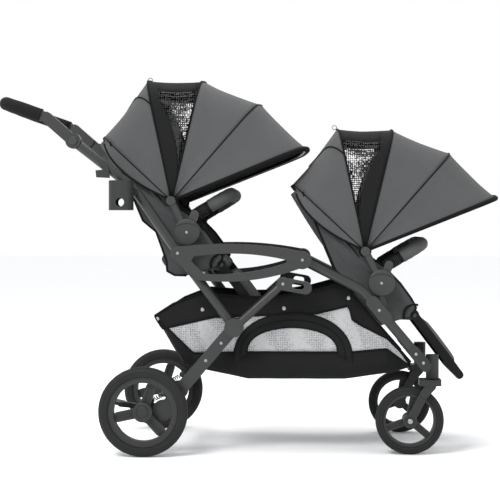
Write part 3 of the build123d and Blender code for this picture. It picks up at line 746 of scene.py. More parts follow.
    def front_binding(self) -> None:
        """Wrap the front edge in a wide black band that widens at the crown."""
        path = self.arch(4, 0.0)
        count = len(path)
        widths = [4.5 + 4.0 * math.sin(math.pi * i / (count - 1)) for i in range(count)]
        obj = tube(self.prefix + "_canopy_front_binding", path, widths, BINDING, sides=14)
        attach(obj, self.bodies[4])

    def valance(self) -> None:
        """Turn a narrow black facing inward behind the front edge."""
        outer, inner = self.arch(4, 0.0), self.arch(4, -18.0)
        rows = [[first.lerp(last, step / 3) for first, last in zip(outer, inner)] for step in range(4)]
        obj = grid_sheet(self.prefix + "_canopy_facing", rows, BLACK_CLOTH, 1.6)
        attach(obj, self.bodies[4])

    def hub_binding(self) -> None:
        """Carry the black edge under each hub, from the rear hem to the front edge."""
        for name, side in (("right", -1), ("left", 1)):
            path = []
            for step in range(17):
                spot = polar(self.hub, 15.0, 150 + (360 + 18 - 150) * step / 16)
                path.append((spot[0], side * (self.half_width + 2), spot[1]))
            obj = tube(f"{self.prefix}_canopy_hub_binding_{name}", path, 3.6, BINDING, sides=8)
            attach(obj, self.base)

    def back_piping(self) -> None:
        """Run piping from the back edge over both corners of the rear panel."""
        count = len(self.arch(0))
        arches = (self.arch(0, 1.5), self.arch(1, 1.5))
        corner = self.runs
        sides = (("right", range(count // 2, corner - 1, -1)),
                 ("left", range(count // 2, count - corner + 1)))
        for name, places in sides:
            path = []
            for step, place in enumerate(places):
                part = 0.36 + 0.64 * (step / (len(places) - 1)) ** 1.6
                path.append(self.between(arches, part, place, 0))
            obj = tube(f"{self.prefix}_canopy_back_piping_{name}", path, 2.2, BINDING, sides=8)
            self.bend(obj, 0)

    def skirt(self) -> None:
        """Hang the strip of cloth below the rearmost edge, with its black hem."""
        path = self.arch(0)
        count = len(path)
        hem = []
        for place, point in enumerate(path):
            height = 1 - abs(2 * place / (count - 1) - 1)
            drop = max(34.0 * math.sin(math.pi * min(height * 1.9, 1.0)), 5.0 * min(height * 8, 1.0))
            turn = math.radians(self.angles[0] + 90)
            hem.append(point + Vector((math.cos(turn), 0, math.sin(turn))) * drop)
        rows = [[first.lerp(last, step / 5) for first, last in zip(path, hem)] for step in range(6)]
        obj = grid_sheet(self.prefix + "_canopy_skirt", rows, GREY_CLOTH)
        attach(obj, self.bodies[0])
        edge = tube(self.prefix + "_canopy_skirt_hem", hem, 3.0, BINDING, sides=8)
        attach(edge, self.bodies[0])
        self.seam("canopy_piping_back", 0, 0, 1.5, BINDING)
        self.pieces.append(obj)

    def hang_loop(self) -> None:
        """Sew a tiny loop to the top of the fixed bow."""
        crown = self.arch(1)[len(self.arch(1)) // 2]
        ring = []
        for step in range(17):
            turn = TAU * step / 16
            ring.append(crown + Vector((-7 - 7 * math.cos(turn), 0, 8 + 6 * math.sin(turn))))
        obj = tube(self.prefix + "_canopy_hang_loop", ring, 1.1, THREAD, sides=6)
        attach(obj, self.bodies[1])

    def line(self, index: int) -> float:
        """Return the length of the cloth's line over one bow, in metres, corners rounded."""
        saved = 2 * (2 - math.pi / 2) * self.corner
        return (2 * (self.reaches[index] - self.crown_rise) + 2 * self.half_width - saved) * MM


# ---------------------------------------------------------------- seats
@dataclass
class Seat:
    """Soft goods of one seat: cushion, back pad, wings, leg-rest cover, bumper cover, harness."""

    prefix: str
    base: str
    disc: Flat
    half_width: float = 172.0
    back_top: Flat = (-240.5, 273.0)
    back_foot: Flat = (-62.0, 12.0)
    rest_pivot: Flat = (97.0, -94.0)
    rest_length: float = 215.0
    rest_angle: float = -53.0
    bumper_pivot: Flat = (22.0, 52.0)
    bumper_tip: Flat = (122.0, 112.0)
    bumper_reach: float = 172.0

    def place(self, x: float, y: float, z: float) -> Vector:
        """Return a point given from the seat's hub disc."""
        return Vector((self.disc[0] + x, y, self.disc[1] + z))

    def name(self, piece: str) -> str:
        """Return a piece's full name."""
        return self.prefix + "_" + piece

    def pad(self, name: str, outline: Sequence[Flat], half_width: float, finish: Finish, swell: float,
            corner: float = 30.0) -> bpy.types.Object:
        """Sew a stuffed pad from its side profile and puff it up.

        Args:
            name: the piece's name without the seat's prefix.
            outline: closed side profile, from the hub disc.
            half_width: half the pad's width.
            finish: the cloth.
            swell: how far its middle may rise.
            corner: not used.

        Returns:
            The pad.
        """
        centre = (sum(p[0] for p in outline) / len(outline), sum(p[1] for p in outline) / len(outline))
        rows, count = [], 17
        for step in range(count):
            along = -1 + 2 * step / (count - 1)
            edge = max(0.0, abs(along) - 0.80) / 0.20
            shrink = 1 - 0.30 * edge ** 2.2
            rows.append([self.place(centre[0] + (p[0] - centre[0]) * shrink, along * half_width,
                                    centre[1] + (p[1] - centre[1]) * shrink) for p in outline])
        faces: List[Tuple[int, ...]] = list(grid_faces(count, len(outline), closed=True))
        faces.append(tuple(range(len(outline))))
        faces.append(tuple(range((count - 1) * len(outline), count * len(outline))))
        obj = mesh_object(self.name(name), [p for row in rows for p in row], faces, finish)
        self.puff(obj, swell)
        return obj

    def puff(self, obj: bpy.types.Object, swell: float, voxel: float = 6.0) -> None:
        """Remesh a pad evenly, inflate it as cloth and cap how far it moves.

        Args:
            obj: the pad.
            swell: the most that any point may move, in millimetres.
            voxel: mesh size, in millimetres.
        """
        remesh = obj.modifiers.new("even", "REMESH")
        remesh.mode = "VOXEL"
        remesh.voxel_size = voxel * MM * 1.0
        bake(obj)
        before = [v.co.copy() for v in obj.data.vertices]
        cloth = obj.modifiers.new("stuffing", "CLOTH")
        cloth.settings.quality = 4
        cloth.settings.mass = 0.3
        cloth.settings.tension_stiffness = 12
        cloth.settings.compression_stiffness = 12
        cloth.settings.bending_stiffness = 0.8
        cloth.settings.use_pressure = True
        cloth.settings.uniform_pressure_force = 3.5
        cloth.settings.effector_weights.gravity = 0.0
        scene = bpy.context.scene
        for step in range(1, 15):
            scene.frame_set(step)
        bake(obj)
        scene.frame_set(1)
        for vertex, rest in zip(obj.data.vertices, before):
            move = vertex.co - rest
            limit = swell * MM
            if move.length > limit:
                vertex.co = rest + move.normalized() * limit
        smooth = obj.modifiers.new("smooth", "CORRECTIVE_SMOOTH")
        smooth.use_only_smooth = True
        smooth.iterations = 6
        bake(obj)
        for face in obj.data.polygons:
            face.use_smooth = True

    def cushion(self) -> None:
        """Build the seat cushion with its front roll and its piping."""
        outline = [(-84, -62), (-40, -66), (30, -70), (84, -73), (106, -80), (118, -94), (112, -108), (94, -106),
                   (58, -103), (10, -119), (-34, -118), (-48, -98), (-82, -94)]
        obj = self.pad("cushion", outline, self.half_width - 2, GREY_CLOTH, 7)
        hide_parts(self.name("seat_cushion"))
        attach(obj, self.base)
        self.quilting(obj.name)

    def quilting(self, parent: str) -> None:
        """Stitch two channels across the cushion."""
        for step, x in enumerate((-20.0, 36.0)):
            path = [self.place(x + 3 * math.cos(y * 0.02), y, -63.5 - x * 0.05) for y in range(-150, 151, 15)]
            obj = tube(f"{parent}_channel_{step}", path, 1.6, BINDING, sides=6, up=(1, 0, 0))
            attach(obj, self.base)

    def back(self) -> None:
        """Build the padded back, its outer shell and the harness."""
        top, foot = Vector(self.back_top), Vector(self.back_foot)
        run = (top - foot).normalized()
        out = Vector((run.y, -run.x))
        outline = []
        for part, front, rear in ((0.0, 20, 12), (0.25, 24, 15), (0.5, 23, 15), (0.75, 22, 14), (0.92, 17, 12)):
            point = foot.lerp(top, part)
            outline.append((tuple(point + out * front), tuple(point - out * rear)))
        closed = [pair[0] for pair in outline] + [tuple(top + out * 4)] + [pair[1] for pair in reversed(outline)]
        body = self.name("seat_back")
        obj = self.pad("back_cushion", closed, self.half_width + 10, GREY_CLOTH, 6)
        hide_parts(self.name("back_pad"))
        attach(obj, body)
        shell = self.back_shell(foot, top, out)
        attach(shell, body)
        self.harness(foot, top, out, body)

    def back_shell(self, foot: Vector, top: Vector, out: Vector) -> bpy.types.Object:
        """Return the dark outer cloth drawn over the rear of the back."""
        rows = []
        for step in range(13):
            part = -0.06 + 1.05 * step / 12
            point = foot.lerp(top, part)
            row = []
            for across in range(-12, 13):
                side = across / 12
                bulge = 25 + 7 * (1 - side * side) * math.sin(math.pi * min(max(part, 0), 1))
                bulge -= 16 * max(0.0, abs(side) - 0.86) / 0.14
                spot = point - out * bulge
                row.append(self.place(spot.x, side * (self.half_width + 24), spot.y))
            rows.append(row)
        obj = grid_sheet(self.name("back_shell"), rows, SIDE_CLOTH, 1.5)
        self.name("back_frame")
        return obj

    def harness(self, foot: Vector, top: Vector, out: Vector, body: str) -> None:
        """Lay the five-point harness on the pads: shoulder straps with their pads, crotch strap, buckle and button."""
        for name, side in (("right", -1), ("left", 1)):
            path = []
            for step in range(13):
                part = 0.84 - 0.80 * step / 12
                lift = 30.5 + 5 * math.sin(math.pi * part)
                spot = foot.lerp(top, part) + out * lift
                path.append(self.place(spot.x, side * (46 + 6 * (1 - part)), spot.y))
            strap = tube(self.name("shoulder_strap_" + name), path, 12.5, WEBBING, flat=0.10, sides=12)
            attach(strap, body)
            pad = tube(self.name("shoulder_pad_" + name), path[1:8], [19, 22, 22, 22, 22, 22, 18], SIDE_CLOTH,
                       flat=0.24, sides=16)
            soft = pad.modifiers.new("round", "SUBSURF")
            soft.levels = 1
            bake(pad)
            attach(pad, body)
        crotch = [self.place(x, 0, -60 - x * 0.06 + 6 * math.sin((x + 20) / 60)) for x in range(-30, 66, 8)]
        strap = tube(self.name("crotch_strap"), crotch, 14, WEBBING, flat=0.12, sides=12)
        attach(strap, self.base)
        buckle = [self.place(-38 + 7 * step, 0, -50 - step) for step in range(7)]
        plate = tube(self.name("harness_buckle"), buckle, [14, 21, 24, 25, 24, 21, 15], MOULDING, flat=0.34, sides=20)
        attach(plate, self.base)
        button = tube(self.name("harness_button"), [self.place(-17, 0, -49), self.place(-16, 0, -43.5)], [9.5, 8.5],
                      BUTTON, sides=20)
        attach(button, self.base)

    def wings(self) -> None:
        """Stretch the side panels between the back, the hub and the front of the seat."""
        outer = [(-226, 262), (-196, 190), (-130, 34), (-92, 2), (-62, -84), (-60, -112), (-38, -124), (-4, -125)]
        inner = [(-206, 268), (-140, 186), (-52, 90), (12, 44), (56, -2), (88, -46), (102, -72), (90, -96)]
        for name, side in (("right", -1), ("left", 1)):
            rows = []
            for step in range(11):
                part = step / 10
                row = []
                for first, last in zip(self.dense(outer), self.dense(inner)):
                    spot = lerp(first, last, part)
                    wave = 4 * math.sin(part * 9 + spot[1] * 0.03)
                    reach = self.half_width + 30 - 5 * math.sin(math.pi * part) + wave
                    row.append(self.place(spot[0], side * min(reach, 206), spot[1]))
                rows.append(row)
            obj = grid_sheet(self.name("wing_" + name), rows, SIDE_CLOTH, 1.4)
            self.follow_back(obj)
            self.name("back_frame")
            self.name("seat_frame")
            hems = (("rear", rows[0]), ("front", rows[-1]))
            for label, line in hems:
                hem = tube(self.name(f"wing_hem_{label}_{name}"), line, 3.0, BINDING, sides=8)
                self.follow_back(hem)

    def hub_details(self) -> None:
        """Add the cap line and the centre screw of each hub disc and the bound arch over the leg-rest hinge."""
        for name, side in (("right", -1), ("left", 1)):
            line = []
            for step in range(17):
                spot = polar((0, -34), 60, 124 - 68 * step / 16)
                line.append(self.place(spot[0], side * 246.3, spot[1]))
            groove = tube(self.name("hub_cap_line_" + name), line, 1.3, MOULDING, sides=8)
            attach(groove, self.base)
            ends = [self.place(0, side * y, 0) for y in (245.5, 247.6, 248.0)]
            screw = tube(self.name("hub_screw_" + name), ends, [4.2, 4.2, 3.2], STEEL, sides=18, up=(1, 0, 0))
            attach(screw, self.base)
            line = []
            for step in range(21):
                spot = polar(self.rest_pivot, 31, 200 - 130 * step / 20)
                line.append(self.place(spot[0], side * 201, spot[1]))
            hem = tube(self.name("hinge_hem_" + name), line, 4.2, BINDING, flat=0.8, sides=10)
            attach(hem, self.base)

    @staticmethod
    def dense(line: Sequence[Flat], each: int = 4) -> List[Flat]:
        """Return a line with points added between its own."""
        result = []
        for first, last in zip(line[:-1], line[1:]):
            result += [lerp(first, last, step / each) for step in range(each)]
        return result + [tuple(line[-1])]

    def follow_back(self, obj: bpy.types.Object) -> None:
        """Apply a piece's placement to its mesh."""
        self.name("seat_back")
        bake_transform(obj)

    def leg_cover(self) -> None:
        """Build the padded panel between the leg-rest tubes, with bound side edges."""
        run = Vector(polar((0, 0), 1.0, self.rest_angle))
        front = Vector((-run.y, run.x))
        pivot = Vector(self.rest_pivot)
        outline = []
        for part, thick in ((0.13, 5), (0.2, 8.5), (0.45, 10), (0.75, 9.5), (0.88, 7)):
            spot = pivot + run * (self.rest_length * part) + front * 8
            outline.append((tuple(spot + front * thick), tuple(spot - front * min(thick, 6.5))))
        closed = [pair[0] for pair in outline] + [pair[1] for pair in reversed(outline)]
        body = self.name("leg_rest")
        obj = self.pad("leg_cover", closed, 184, GREY_CLOTH, 4)
        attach(obj, body)
        for name, side in (("right", -1), ("left", 1)):
            path = [self.place(*self.spread(pivot + run * (self.rest_length * (0.13 + 0.075 * k)) + front * 9, side * 185))
                    for k in range(11)]
            hem = tube(self.name("leg_cover_hem_" + name), path, 4.2, BINDING, flat=0.8, sides=10)
            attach(hem, body)

    @staticmethod
    def spread(spot: Vector, reach: float) -> Point:
        """Return a side-view point as a point of the seat at a reach."""
        return (spot.x, reach, spot.y)

    def bumper_path(self) -> List[Vector]:
        """Return the middle line of the bumper bar, from the right pivot to the left one."""
        first, tip, reach = self.bumper_pivot, self.bumper_tip, self.bumper_reach
        corners = [(first[0], -reach, first[1]), (tip[0], -reach, tip[1]), (tip[0], reach, tip[1]),
                   (first[0], reach, first[1])]
        return [self.place(*p) for p in rounded(corners, [52.0, 52.0], 12, 12)]

    def bumper(self) -> None:
        """Cover the bumper bar's foam in cloth, with a seam, and rib its adapters."""
        body = self.name("bumper_bar")
        path = self.bumper_path()
        lengths = [0.0]
        for first, last in zip(path[:-1], path[1:]):
            lengths.append(lengths[-1] + (last - first).length)
        total = lengths[-1]
        covered = [p for p, run in zip(path, lengths) if 40 < run < total - 40]
        count = len(covered)
        widths = [19.6 + 0.5 * math.sin(i * 1.7) for i in range(count)]
        widths[0] = widths[-1] = 18.3
        cover = tube(self.name("bumper_cover"), covered, widths, GREY_CLOTH, sides=24)
        round_over = cover.modifiers.new("round", "SUBSURF")
        round_over.levels = 1
        bake(cover)
        for face in cover.data.polygons:
            face.use_smooth = True
        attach(cover, body)
        seam = tube(self.name("bumper_seam"), [p + Vector((-6, 0, -18.6)) for p in covered[2:-2]], 1.2, THREAD, sides=6)
        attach(seam, body)
        for side, order in (("right", range(2, 7)), ("left", range(len(path) - 3, len(path) - 8, -1))):
            for rib, place in enumerate(order):
                ahead = (path[place + 1] - path[place]).normalized()
                ring = []
                across = Vector((0, 1, 0))
                out = ahead.cross(across)
                for step in range(25):
                    turn = TAU * step / 24
                    ring.append(path[place] + (across * math.cos(turn) + out * math.sin(turn)) * 18.4)
                band = tube(self.name(f"bumper_rib_{side}_{rib}"), ring, 1.1, MOULDING, sides=8, up=tuple(ahead))
                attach(band, body)

    def build(self) -> None:
        """Build every soft piece of the seat."""
        for step in (self.cushion, self.back, self.wings, self.hub_details, self.leg_cover, self.bumper):
            step()
            log.info("%s seat: %s", self.prefix, step.__name__)


# ---------------------------------------------------------------- basket
@dataclass
class Basket:
    """Storage basket slung under both seats: dark bands, net sides and a sagging floor."""

    half_width: float = 215.0
    rim: Tuple[Flat, ...] = ((-270, 393), (-216, 428), (-137, 459), (0, 448), (90, 450), (185, 466), (251, 484),
                             (290, 470), (330, 420), (468, 262))
    band: Tuple[Flat, ...] = ((-270, 392), (-253, 354), (-100, 390), (69, 397), (196, 401), (292, 424), (298, 385),
                              (330, 365), (400, 330), (440, 290), (468, 250))
    net_foot: Tuple[Flat, ...] = ((-270, 391), (-225, 352), (-158, 286), (0, 290), (292, 290), (400, 300), (468, 249))
    floor: Tuple[Flat, ...] = ((-270, 391), (-246, 352), (-186, 250), (0, 212), (279, 212), (420, 232), (468, 246))
    arch_outer: Tuple[float, float, float, float] = (-42.0, 302.0, 258.0, 404.0)
    arch_inner: Tuple[float, float, float, float] = (-2.0, 258.0, 286.0, 361.0)

    @staticmethod
    def level(line: Sequence[Flat], x: float) -> float:
        """Return a line's height at x."""
        for (x0, z0), (x1, z1) in zip(line[:-1], line[1:]):
            if x <= x1:
                return z0 + (z1 - z0) * (x - x0) / (x1 - x0)
        return line[-1][1]

    def stations(self) -> List[float]:
        """Return the places along the basket at which it is drawn."""
        return [-270 + 738 * step / 123 for step in range(124)]

    def bulge(self, x: float, height: float) -> float:
        """Return how far a side stands out at x and at a height from the floor, 0 to 1."""
        along = math.sin(math.pi * (x + 270) / 738)
        return self.half_width + 7 * along * math.sin(math.pi * height) + 1.6 * math.sin(x * 0.06 + height * 5)

    def side(self, name: str, upper: Sequence[Flat], lower: Sequence[Flat], finish: Finish, way: int,
             thickness: float, steps: int = 7) -> bpy.types.Object:
        """Build one strip of a side between two lines.

        Args:
            name: the piece's name.
            upper: its upper line.
            lower: its lower line.
            finish: the cloth or net.
            way: -1 for the right side, 1 for the left.
            thickness: in millimetres.
            steps: rows between the lines.

        Returns:
            The strip.
        """
        rows = []
        for step in range(steps + 1):
            row = []
            for x in self.stations():
                floor = self.level(self.floor, x)
                top = max(self.level(self.rim, x), floor + 1)
                high = max(self.level(upper, x), floor + 0.8)
                low = max(self.level(lower, x), floor + 0.4)
                z = high + (low - high) * step / steps
                row.append((x, way * self.bulge(x, min(max((z - floor) / (top - floor), 0), 1)), z))
            rows.append(row)
        obj = grid_sheet(name, rows, finish, thickness)
        self.bend(obj)
        return obj

    def bend(self, obj: bpy.types.Object) -> None:
        """Apply a piece's placement to its mesh."""
        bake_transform(obj)

    def edge(self, name: str, line: Sequence[Flat], way: int, radius: float, finish: Finish, flat: float = 1.0) -> None:
        """Bind one line of a side."""
        path = []
        for x in self.stations():
            floor = self.level(self.floor, x)
            top = max(self.level(self.rim, x), floor + 1)
            z = max(self.level(line, x), floor + 0.6)
            path.append((x, way * (self.bulge(x, min(max((z - floor) / (top - floor), 0), 1)) + 0.6), z))
        obj = tube(name, path, radius, finish, flat=flat, sides=8, up=(0, 0, 1))
        self.bend(obj)

    def shell(self) -> bpy.types.Object:
        """Build the floor, the rear wall and the lower bands as one sagging sheet."""
        rows = []
        for x in self.stations():
            floor = self.level(self.floor, x)
            top = max(self.level(self.rim, x), floor + 1)
            edge = max(self.level(self.net_foot, x), floor + 0.4)
            width = self.bulge(x, min((edge - floor) / (top - floor), 1))
            low = min(18.0, (edge - floor) * 0.8)
            section = [(-width, edge), (-width, floor + low), (-width + 22, floor)]
            sag = 5 * math.sin(math.pi * (x + 270) / 738)
            for step in range(1, 14):
                y = (-width + 22) + (2 * width - 44) * step / 14
                section.append((y, floor - sag * (1 - (y / width) ** 2) * 0.2 + 1.2 * math.sin(x * 0.03 + y * 0.04)))
            section += [(width - 22, floor), (width, floor + low), (width, edge)]
            rows.append([(x, y, max(z, 211.0)) for y, z in section])
        obj = grid_sheet("basket_shell", rows, BLACK_CLOTH, 1.6)
        self.bend(obj)
        return obj

    def on_side(self, x: float, z: float, way: int, proud: float) -> Point:
        """Return the point of a side at x and z, standing proud of it."""
        floor = self.level(self.floor, x)
        top = max(self.level(self.rim, x), floor + 1)
        return (x, way * (self.bulge(x, min(max((z - floor) / (top - floor), 0), 1)) + proud), z)

    def arch(self, label: str, way: int) -> None:
        """Sew the broad arched band on a side and bind both its edges."""
        lines = []
        for start, end, foot, crown in (self.arch_outer, self.arch_inner):
            line = []
            for step in range(41):
                turn = math.pi * step / 40
                x = (start + end) / 2 - (end - start) / 2 * math.cos(turn)
                line.append((x, max(foot, 254.0) + (crown - foot) * math.sin(turn) ** 0.8))
            lines.append(line)
        rows = []
        for step in range(7):
            row = [self.on_side(*lerp(first, last, step / 6), way, 1.2 + 2.2 * math.sin(math.pi * step / 6))
                   for first, last in zip(*lines)]
            rows.append(row)
        obj = grid_sheet("basket_arch_" + label, rows, BLACK_CLOTH, 1.4)
        self.bend(obj)
        middle = [lerp(a, b, 0.5) for a, b in zip(*lines)]
        for edge, line in (("outer", lines[0]), ("middle", middle), ("inner", lines[1])):
            path = [self.on_side(x, z, way, 1.8 if edge != "middle" else 4.0) for x, z in line]
            binding = tube(f"basket_arch_{edge}_{label}", path, 1.7, BINDING, sides=8, up=(0, 0, 1))
            self.bend(binding)

    def snap(self, name: str, x: float, z: float, way: int) -> None:
        """Press one snap fastener into a band."""
        floor, top = self.level(self.floor, x), self.level(self.rim, x)
        y = self.bulge(x, (z - floor) / (top - floor))
        obj = tube(name, [(x, way * (y - 1), z), (x, way * (y + 2.6), z), (x, way * (y + 3.4), z)], [6, 6, 4.2], STEEL,
                   sides=20, up=(0, 0, 1))
        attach(obj, "frame" if x < 100 else "front_frame")

    def build(self) -> None:
        """Build the basket's cloth, nets, bindings and snaps."""
        shell = self.shell()
        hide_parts("basket")
        for name, way in (("right", -1), ("left", 1)):
            band = self.side("basket_band_" + name, self.rim, self.band, BLACK_CLOTH, way, 1.6)
            net = self.side("basket_net_" + name, self.band, self.net_foot, BASKET_NET, way, 0.5)
            self.edge("basket_rim_binding_" + name, self.rim, way, 3.6, BINDING)
            self.edge("basket_band_binding_" + name, self.band, way, 2.4, BINDING)
            self.edge("basket_foot_binding_" + name, self.net_foot, way, 2.4, BINDING)
            self.arch(name, way)
            for index, (x, z) in enumerate(((-262, 385), (-131, 412), (104, 416), (290, 446))):
                self.snap(f"basket_snap_{name}_{index}", x, z, way)
        log.info("basket: shell, bands, nets and bindings")


# ---------------------------------------------------------------- handle grip
@dataclass
class Grip:
    """Foam sleeve on the push handle, with rolled ends."""

    reach: float = 262.0
    start: Flat = (-591.0, 969.6)
    corner: Flat = (-714.0, 1013.0)
    bend: float = 125.0
    radius: float = 19.3

    def path(self) -> List[Vector]:
        """Return the sleeve's middle line."""
        corners = [(self.start[0], -self.reach, self.start[1]), (self.corner[0], -self.reach, self.corner[1]),
                   (self.corner[0], self.reach, self.corner[1]), (self.start[0], self.reach, self.start[1])]
        return rounded(corners, [self.bend, self.bend], 12, 14)

    def build(self) -> None:
        """Build the sleeve and its end rings."""
        path = self.path()
        count = len(path)
        widths = [self.radius + 0.25 * math.sin(i * 0.9) for i in range(count)]
        widths[0] = widths[-1] = self.radius - 2.2
        widths[1] = widths[-2] = self.radius + 0.4
        path[1] = path[0].lerp(path[1], 0.4)
        path[-2] = path[-1].lerp(path[-2], 0.4)
        obj = tube("handle_grip", path, widths, FOAM, sides=28)
        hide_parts("foam_grip")
        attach(obj, "handle_bar")
        for name, end, inner in (("right", 0, 1), ("left", -1, -2)):
            away = (path[end] - path[inner]).normalized()
            ring = [path[end] + away * step for step in (-1.0, 3.0, 5.0)]
            cuff = tube("handle_grip_cuff_" + name, ring, [16.2, 16.2, 14.5], MOULDING, sides=24)
            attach(cuff, "handle_bar")
        log.info("grip: sleeve and cuffs")


# ---------------------------------------------------------------- hard pieces
@dataclass
class Hardware:
    """Finishes of the frame, wheels, hubs and fasteners that come with the frame."""

    finishes: Dict[str, Finish] = field(default_factory=lambda: {
        "frame_tube": PAINT, "dark_moulding": MOULDING, "steel": STEEL, "spring_steel": SPRING, "rubber": TYRE,
        "rim_plastic": RIM, "foam": FOAM, "grey_fabric": GREY_CLOTH, "black_fabric": BLACK_CLOTH,
        "button_plastic": BUTTON})
    hubs: Tuple[str, ...] = ("seat_frame", "handle_button")

    def dress(self) -> None:
        """Give every node of the frame the finish of its slot."""
        slots = {part["node"]: part["material_slot"] for part in frame["record"]["subparts"]}
        for name, obj in frame["nodes"].items():
            finish = self.finishes[slots[name]]
            if any(word in name for word in self.hubs):
                finish = HUB_PLASTIC
            obj.data.materials.clear()
            obj.data.materials.append(finish.build())
        log.info("hardware: %d pieces dressed", len(frame["nodes"]))


@dataclass
class Wheel:
    """Moulded rings and the axle cap of one wheel."""

    name: str
    body: str
    axle: Flat
    reach: float
    radius: float
    width: float
    seat: float
    cap: float

    def ring(self, label: str, radius: float, y: float, thick: float, finish: Finish) -> None:
        """Add one thin raised ring on a face of the wheel."""
        path = [(*[self.axle[0] + radius * math.cos(TAU * k / 64)], y, self.axle[1] + radius * math.sin(TAU * k / 64))
                for k in range(65)]
        obj = tube(f"{self.name}_{label}", path, thick, finish, sides=8)
        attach(obj, self.body)

    def build(self) -> None:
        """Build the sidewall rings on both faces and the outer cap."""
        way = 1 if self.reach > 0 else -1
        for label, side in (("outer", way), ("inner", -way)):
            face = self.reach + side * self.width / 2
            self.ring("sidewall_" + label, self.seat + 5, face, 1.0, TYRE)
            self.ring("shoulder_" + label, (self.seat + self.radius) / 2, face, 0.9, TYRE)
            self.ring("rim_lip_" + label, self.seat - 2, self.reach + side * self.width * 0.35, 2.0, RIM)
        tread = int(TAU * self.radius / 9)
        points, faces = [], []
        for k in range(tread):
            turn = TAU * k / tread
            for row, (low, high) in enumerate(((-0.24, -0.03), (0.03, 0.24))):
                lean = 0.02 * (1 if row else -1)
                base = len(points)
                for lift in (-1.0, 0.7):
                    for y, t in ((low, turn - 0.016), (low, turn + 0.016), (high, turn + 0.016 + lean), (high, turn - 0.016 + lean)):
                        r = self.radius + lift - 0.9
                        points.append((self.axle[0] + r * math.cos(t), self.reach + y * self.width, self.axle[1] + r * math.sin(t)))
                faces += [(base + 4, base + 5, base + 6, base + 7)]
                faces += [(base + i, base + (i + 1) % 4, base + 4 + (i + 1) % 4, base + 4 + i) for i in range(4)]
        blocks = mesh_object(self.name + "_tread", points, faces, TYRE)
        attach(blocks, self.body)
        self.axle_cap(way)
        log.info("wheel %s: rings, tread and cap", self.name)

    def axle_cap(self, way: int) -> None:
        """Close the hub's outer end with a stepped cap."""
        low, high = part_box(self.name.replace("wheel", "rim"))
        face = (low.y if way < 0 else high.y) / MM
        steps = ((-0.5, self.cap), (1.2, self.cap), (2.4, self.cap - 2.2), (2.4, self.cap * 0.66), (1.4, self.cap * 0.60),
                 (3.4, self.cap * 0.5), (4.2, self.cap * 0.36))
        path = [(self.axle[0], face + way * (out + 0.01 * index), self.axle[1]) for index, (out, _) in enumerate(steps)]
        obj = lathe(self.name + "_cap", path, [r for _, r in steps], MOULDING)
        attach(obj, self.body)


def lathe(name: str, path: Sequence[Point], radii: Sequence[float], finish: Finish) -> bpy.types.Object:
    """Turn a stepped round piece whose axis runs along Y.

    Args:
        name: the piece's name.
        path: centres of its rings.
        radii: radius of each ring.
        finish: the finish it wears.

    Returns:
        The piece, closed at both ends.
    """
    sides = 40
    points = [(x + r * math.cos(TAU * k / sides), y, z + r * math.sin(TAU * k / sides))
              for (x, y, z), r in zip(path, radii) for k in range(sides)]
    faces = [tuple(f) for f in grid_faces(len(path), sides, closed=True)]
    faces.append(tuple(range(sides)))
    faces.append(tuple(range((len(path) - 1) * sides, len(path) * sides)))
    obj = mesh_object(name, points, faces, finish)
    for face in obj.data.polygons:
        face.use_smooth = False
    return obj


def add_bolts() -> None:
    """Press a bolt head into each caster's hinge and axle."""
    for side, way in (("right", -1), ("left", 1)):
        for label, body, node_name, spot in (("axle", "caster_arm_", "caster_arm_", (464.0, 97.5)),
                                             ("hinge", "caster_arm_", "caster_arm_", (504.7, 176.7))):
            low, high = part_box(node_name + side)
            face = (low.y if way < 0 else high.y) / MM
            path = [(spot[0], face + way * out, spot[1]) for out in (-1.0, 1.6, 2.6, 2.61, 1.0)]
            bolt = lathe(f"caster_bolt_{label}_{side}", path, [7.0, 7.0, 5.6, 3.4, 3.0], STEEL)
            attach(bolt, body + side)
    log.info("casters: bolts")


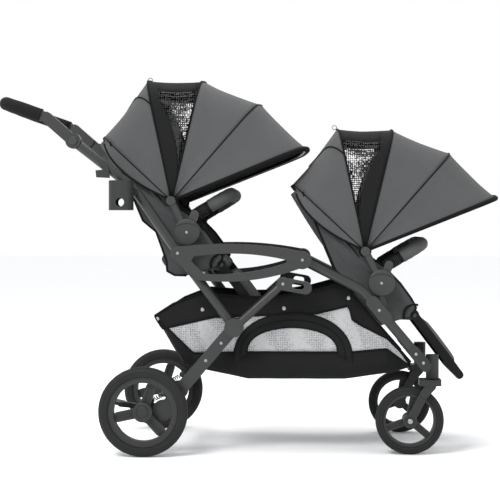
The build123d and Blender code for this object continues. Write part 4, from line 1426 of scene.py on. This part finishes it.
# ---------------------------------------------------------------- studio
@dataclass
class Studio:
    """Pale floor, soft lights and the camera, in metres."""

    camera_place: Point = (0.1642, -4.5, 0.648)
    camera_aim: Point = (-0.002, 0.0, 0.581)
    lens: float = 107.05
    floor_level: float = 0.97
    world_level: float = 1.0

    def floor(self) -> None:
        """Lay a wide flat pale floor, with no wall that a camera could end up behind."""
        rows = [[(x * 1000, y * 1000, -0.5) for x in (-30.0, 0.0, 30.0)] for y in (-30.0, 0.0, 30.0)]
        points = [p for row in rows for p in row]
        obj = mesh_object("studio_floor", points, grid_faces(len(rows), 3),
                          Finish("studio_paper", "grey_fabric", self.floor_level, 0.9, 0.0, 60.0, 0.02, 0.0, 0.8))

    def light(self, name: str, place: Point, aim: Point, size: float, power: float) -> None:
        """Hang one soft square light.

        Args:
            name: the light's name.
            place: where it hangs.
            aim: the point it faces.
            size: side of the light.
            power: in watts.
        """
        data = bpy.data.lights.new(name, "AREA")
        data.shape = "SQUARE"
        data.size = size
        data.energy = power
        obj = bpy.data.objects.new(name, data)
        obj.location = place
        obj.rotation_euler = (Vector(aim) - Vector(place)).to_track_quat("-Z", "Y").to_euler()
        bpy.context.scene.collection.objects.link(obj)

    def build(self) -> None:
        """Set up the floor, the lights, the world and the camera."""
        self.floor()
        self.light("key_light", (-1.8, -3.2, 3.6), (0, 0, 0.5), 1.6, 150)
        self.light("fill_light", (3.0, -3.4, 1.6), (0, 0, 0.5), 2.4, 20)
        self.light("top_light", (0.0, 0.4, 4.2), (0, 0, 0.4), 2.4, 90)
        world = bpy.data.worlds.new("studio_world")
        world.use_nodes = True
        world.node_tree.nodes["Background"].inputs["Color"].default_value = (1, 1, 1, 1)
        world.node_tree.nodes["Background"].inputs["Strength"].default_value = self.world_level
        bpy.context.scene.world = world
        bpy.context.scene.view_settings.view_transform = "Standard"
        data = bpy.data.cameras.new("camera")
        data.lens = self.lens
        data.sensor_width = 36.0
        obj = bpy.data.objects.new("camera", data)
        obj.location = self.camera_place
        obj.rotation_euler = (Vector(self.camera_aim) - Vector(self.camera_place)).to_track_quat("-Z", "Y").to_euler()
        bpy.context.scene.collection.objects.link(obj)
        bpy.context.scene.camera = obj
        log.info("studio: floor, three lights and camera")


def main() -> None:
    """Build the studio, dress the frame and make every soft piece."""
    logging.basicConfig(level=logging.INFO, format="%(message)s")
    Studio().build()
    Hardware().dress()
    rear_disc, front_disc = (-175.0, 635.0), (383.0, 490.0)
    Canopy("rear", "frame", rear_disc, Window.BESIDE_SECOND_BOW).build()
    Canopy("front", "front_frame", front_disc, Window.BESIDE_FIXED_BOW).build()
    Seat("rear", "frame", rear_disc).build()
    Seat("front", "front_frame", front_disc).build()
    Basket().build()
    Grip().build()
    for side, way in (("right", -1), ("left", 1)):
        Wheel("rear_wheel_" + side, "rear_wheel_" + side, (-294.0, 127.0), 308.0 * way, 127.0, 44.0, 101.0, 28.0).build()
        Wheel("front_wheel_" + side, "front_wheel_" + side, (464.0, 97.5), 233.0 * way, 97.5, 38.0, 78.5, 20.0).build()
    add_bolts()


if __name__ == "__main__":
    main()
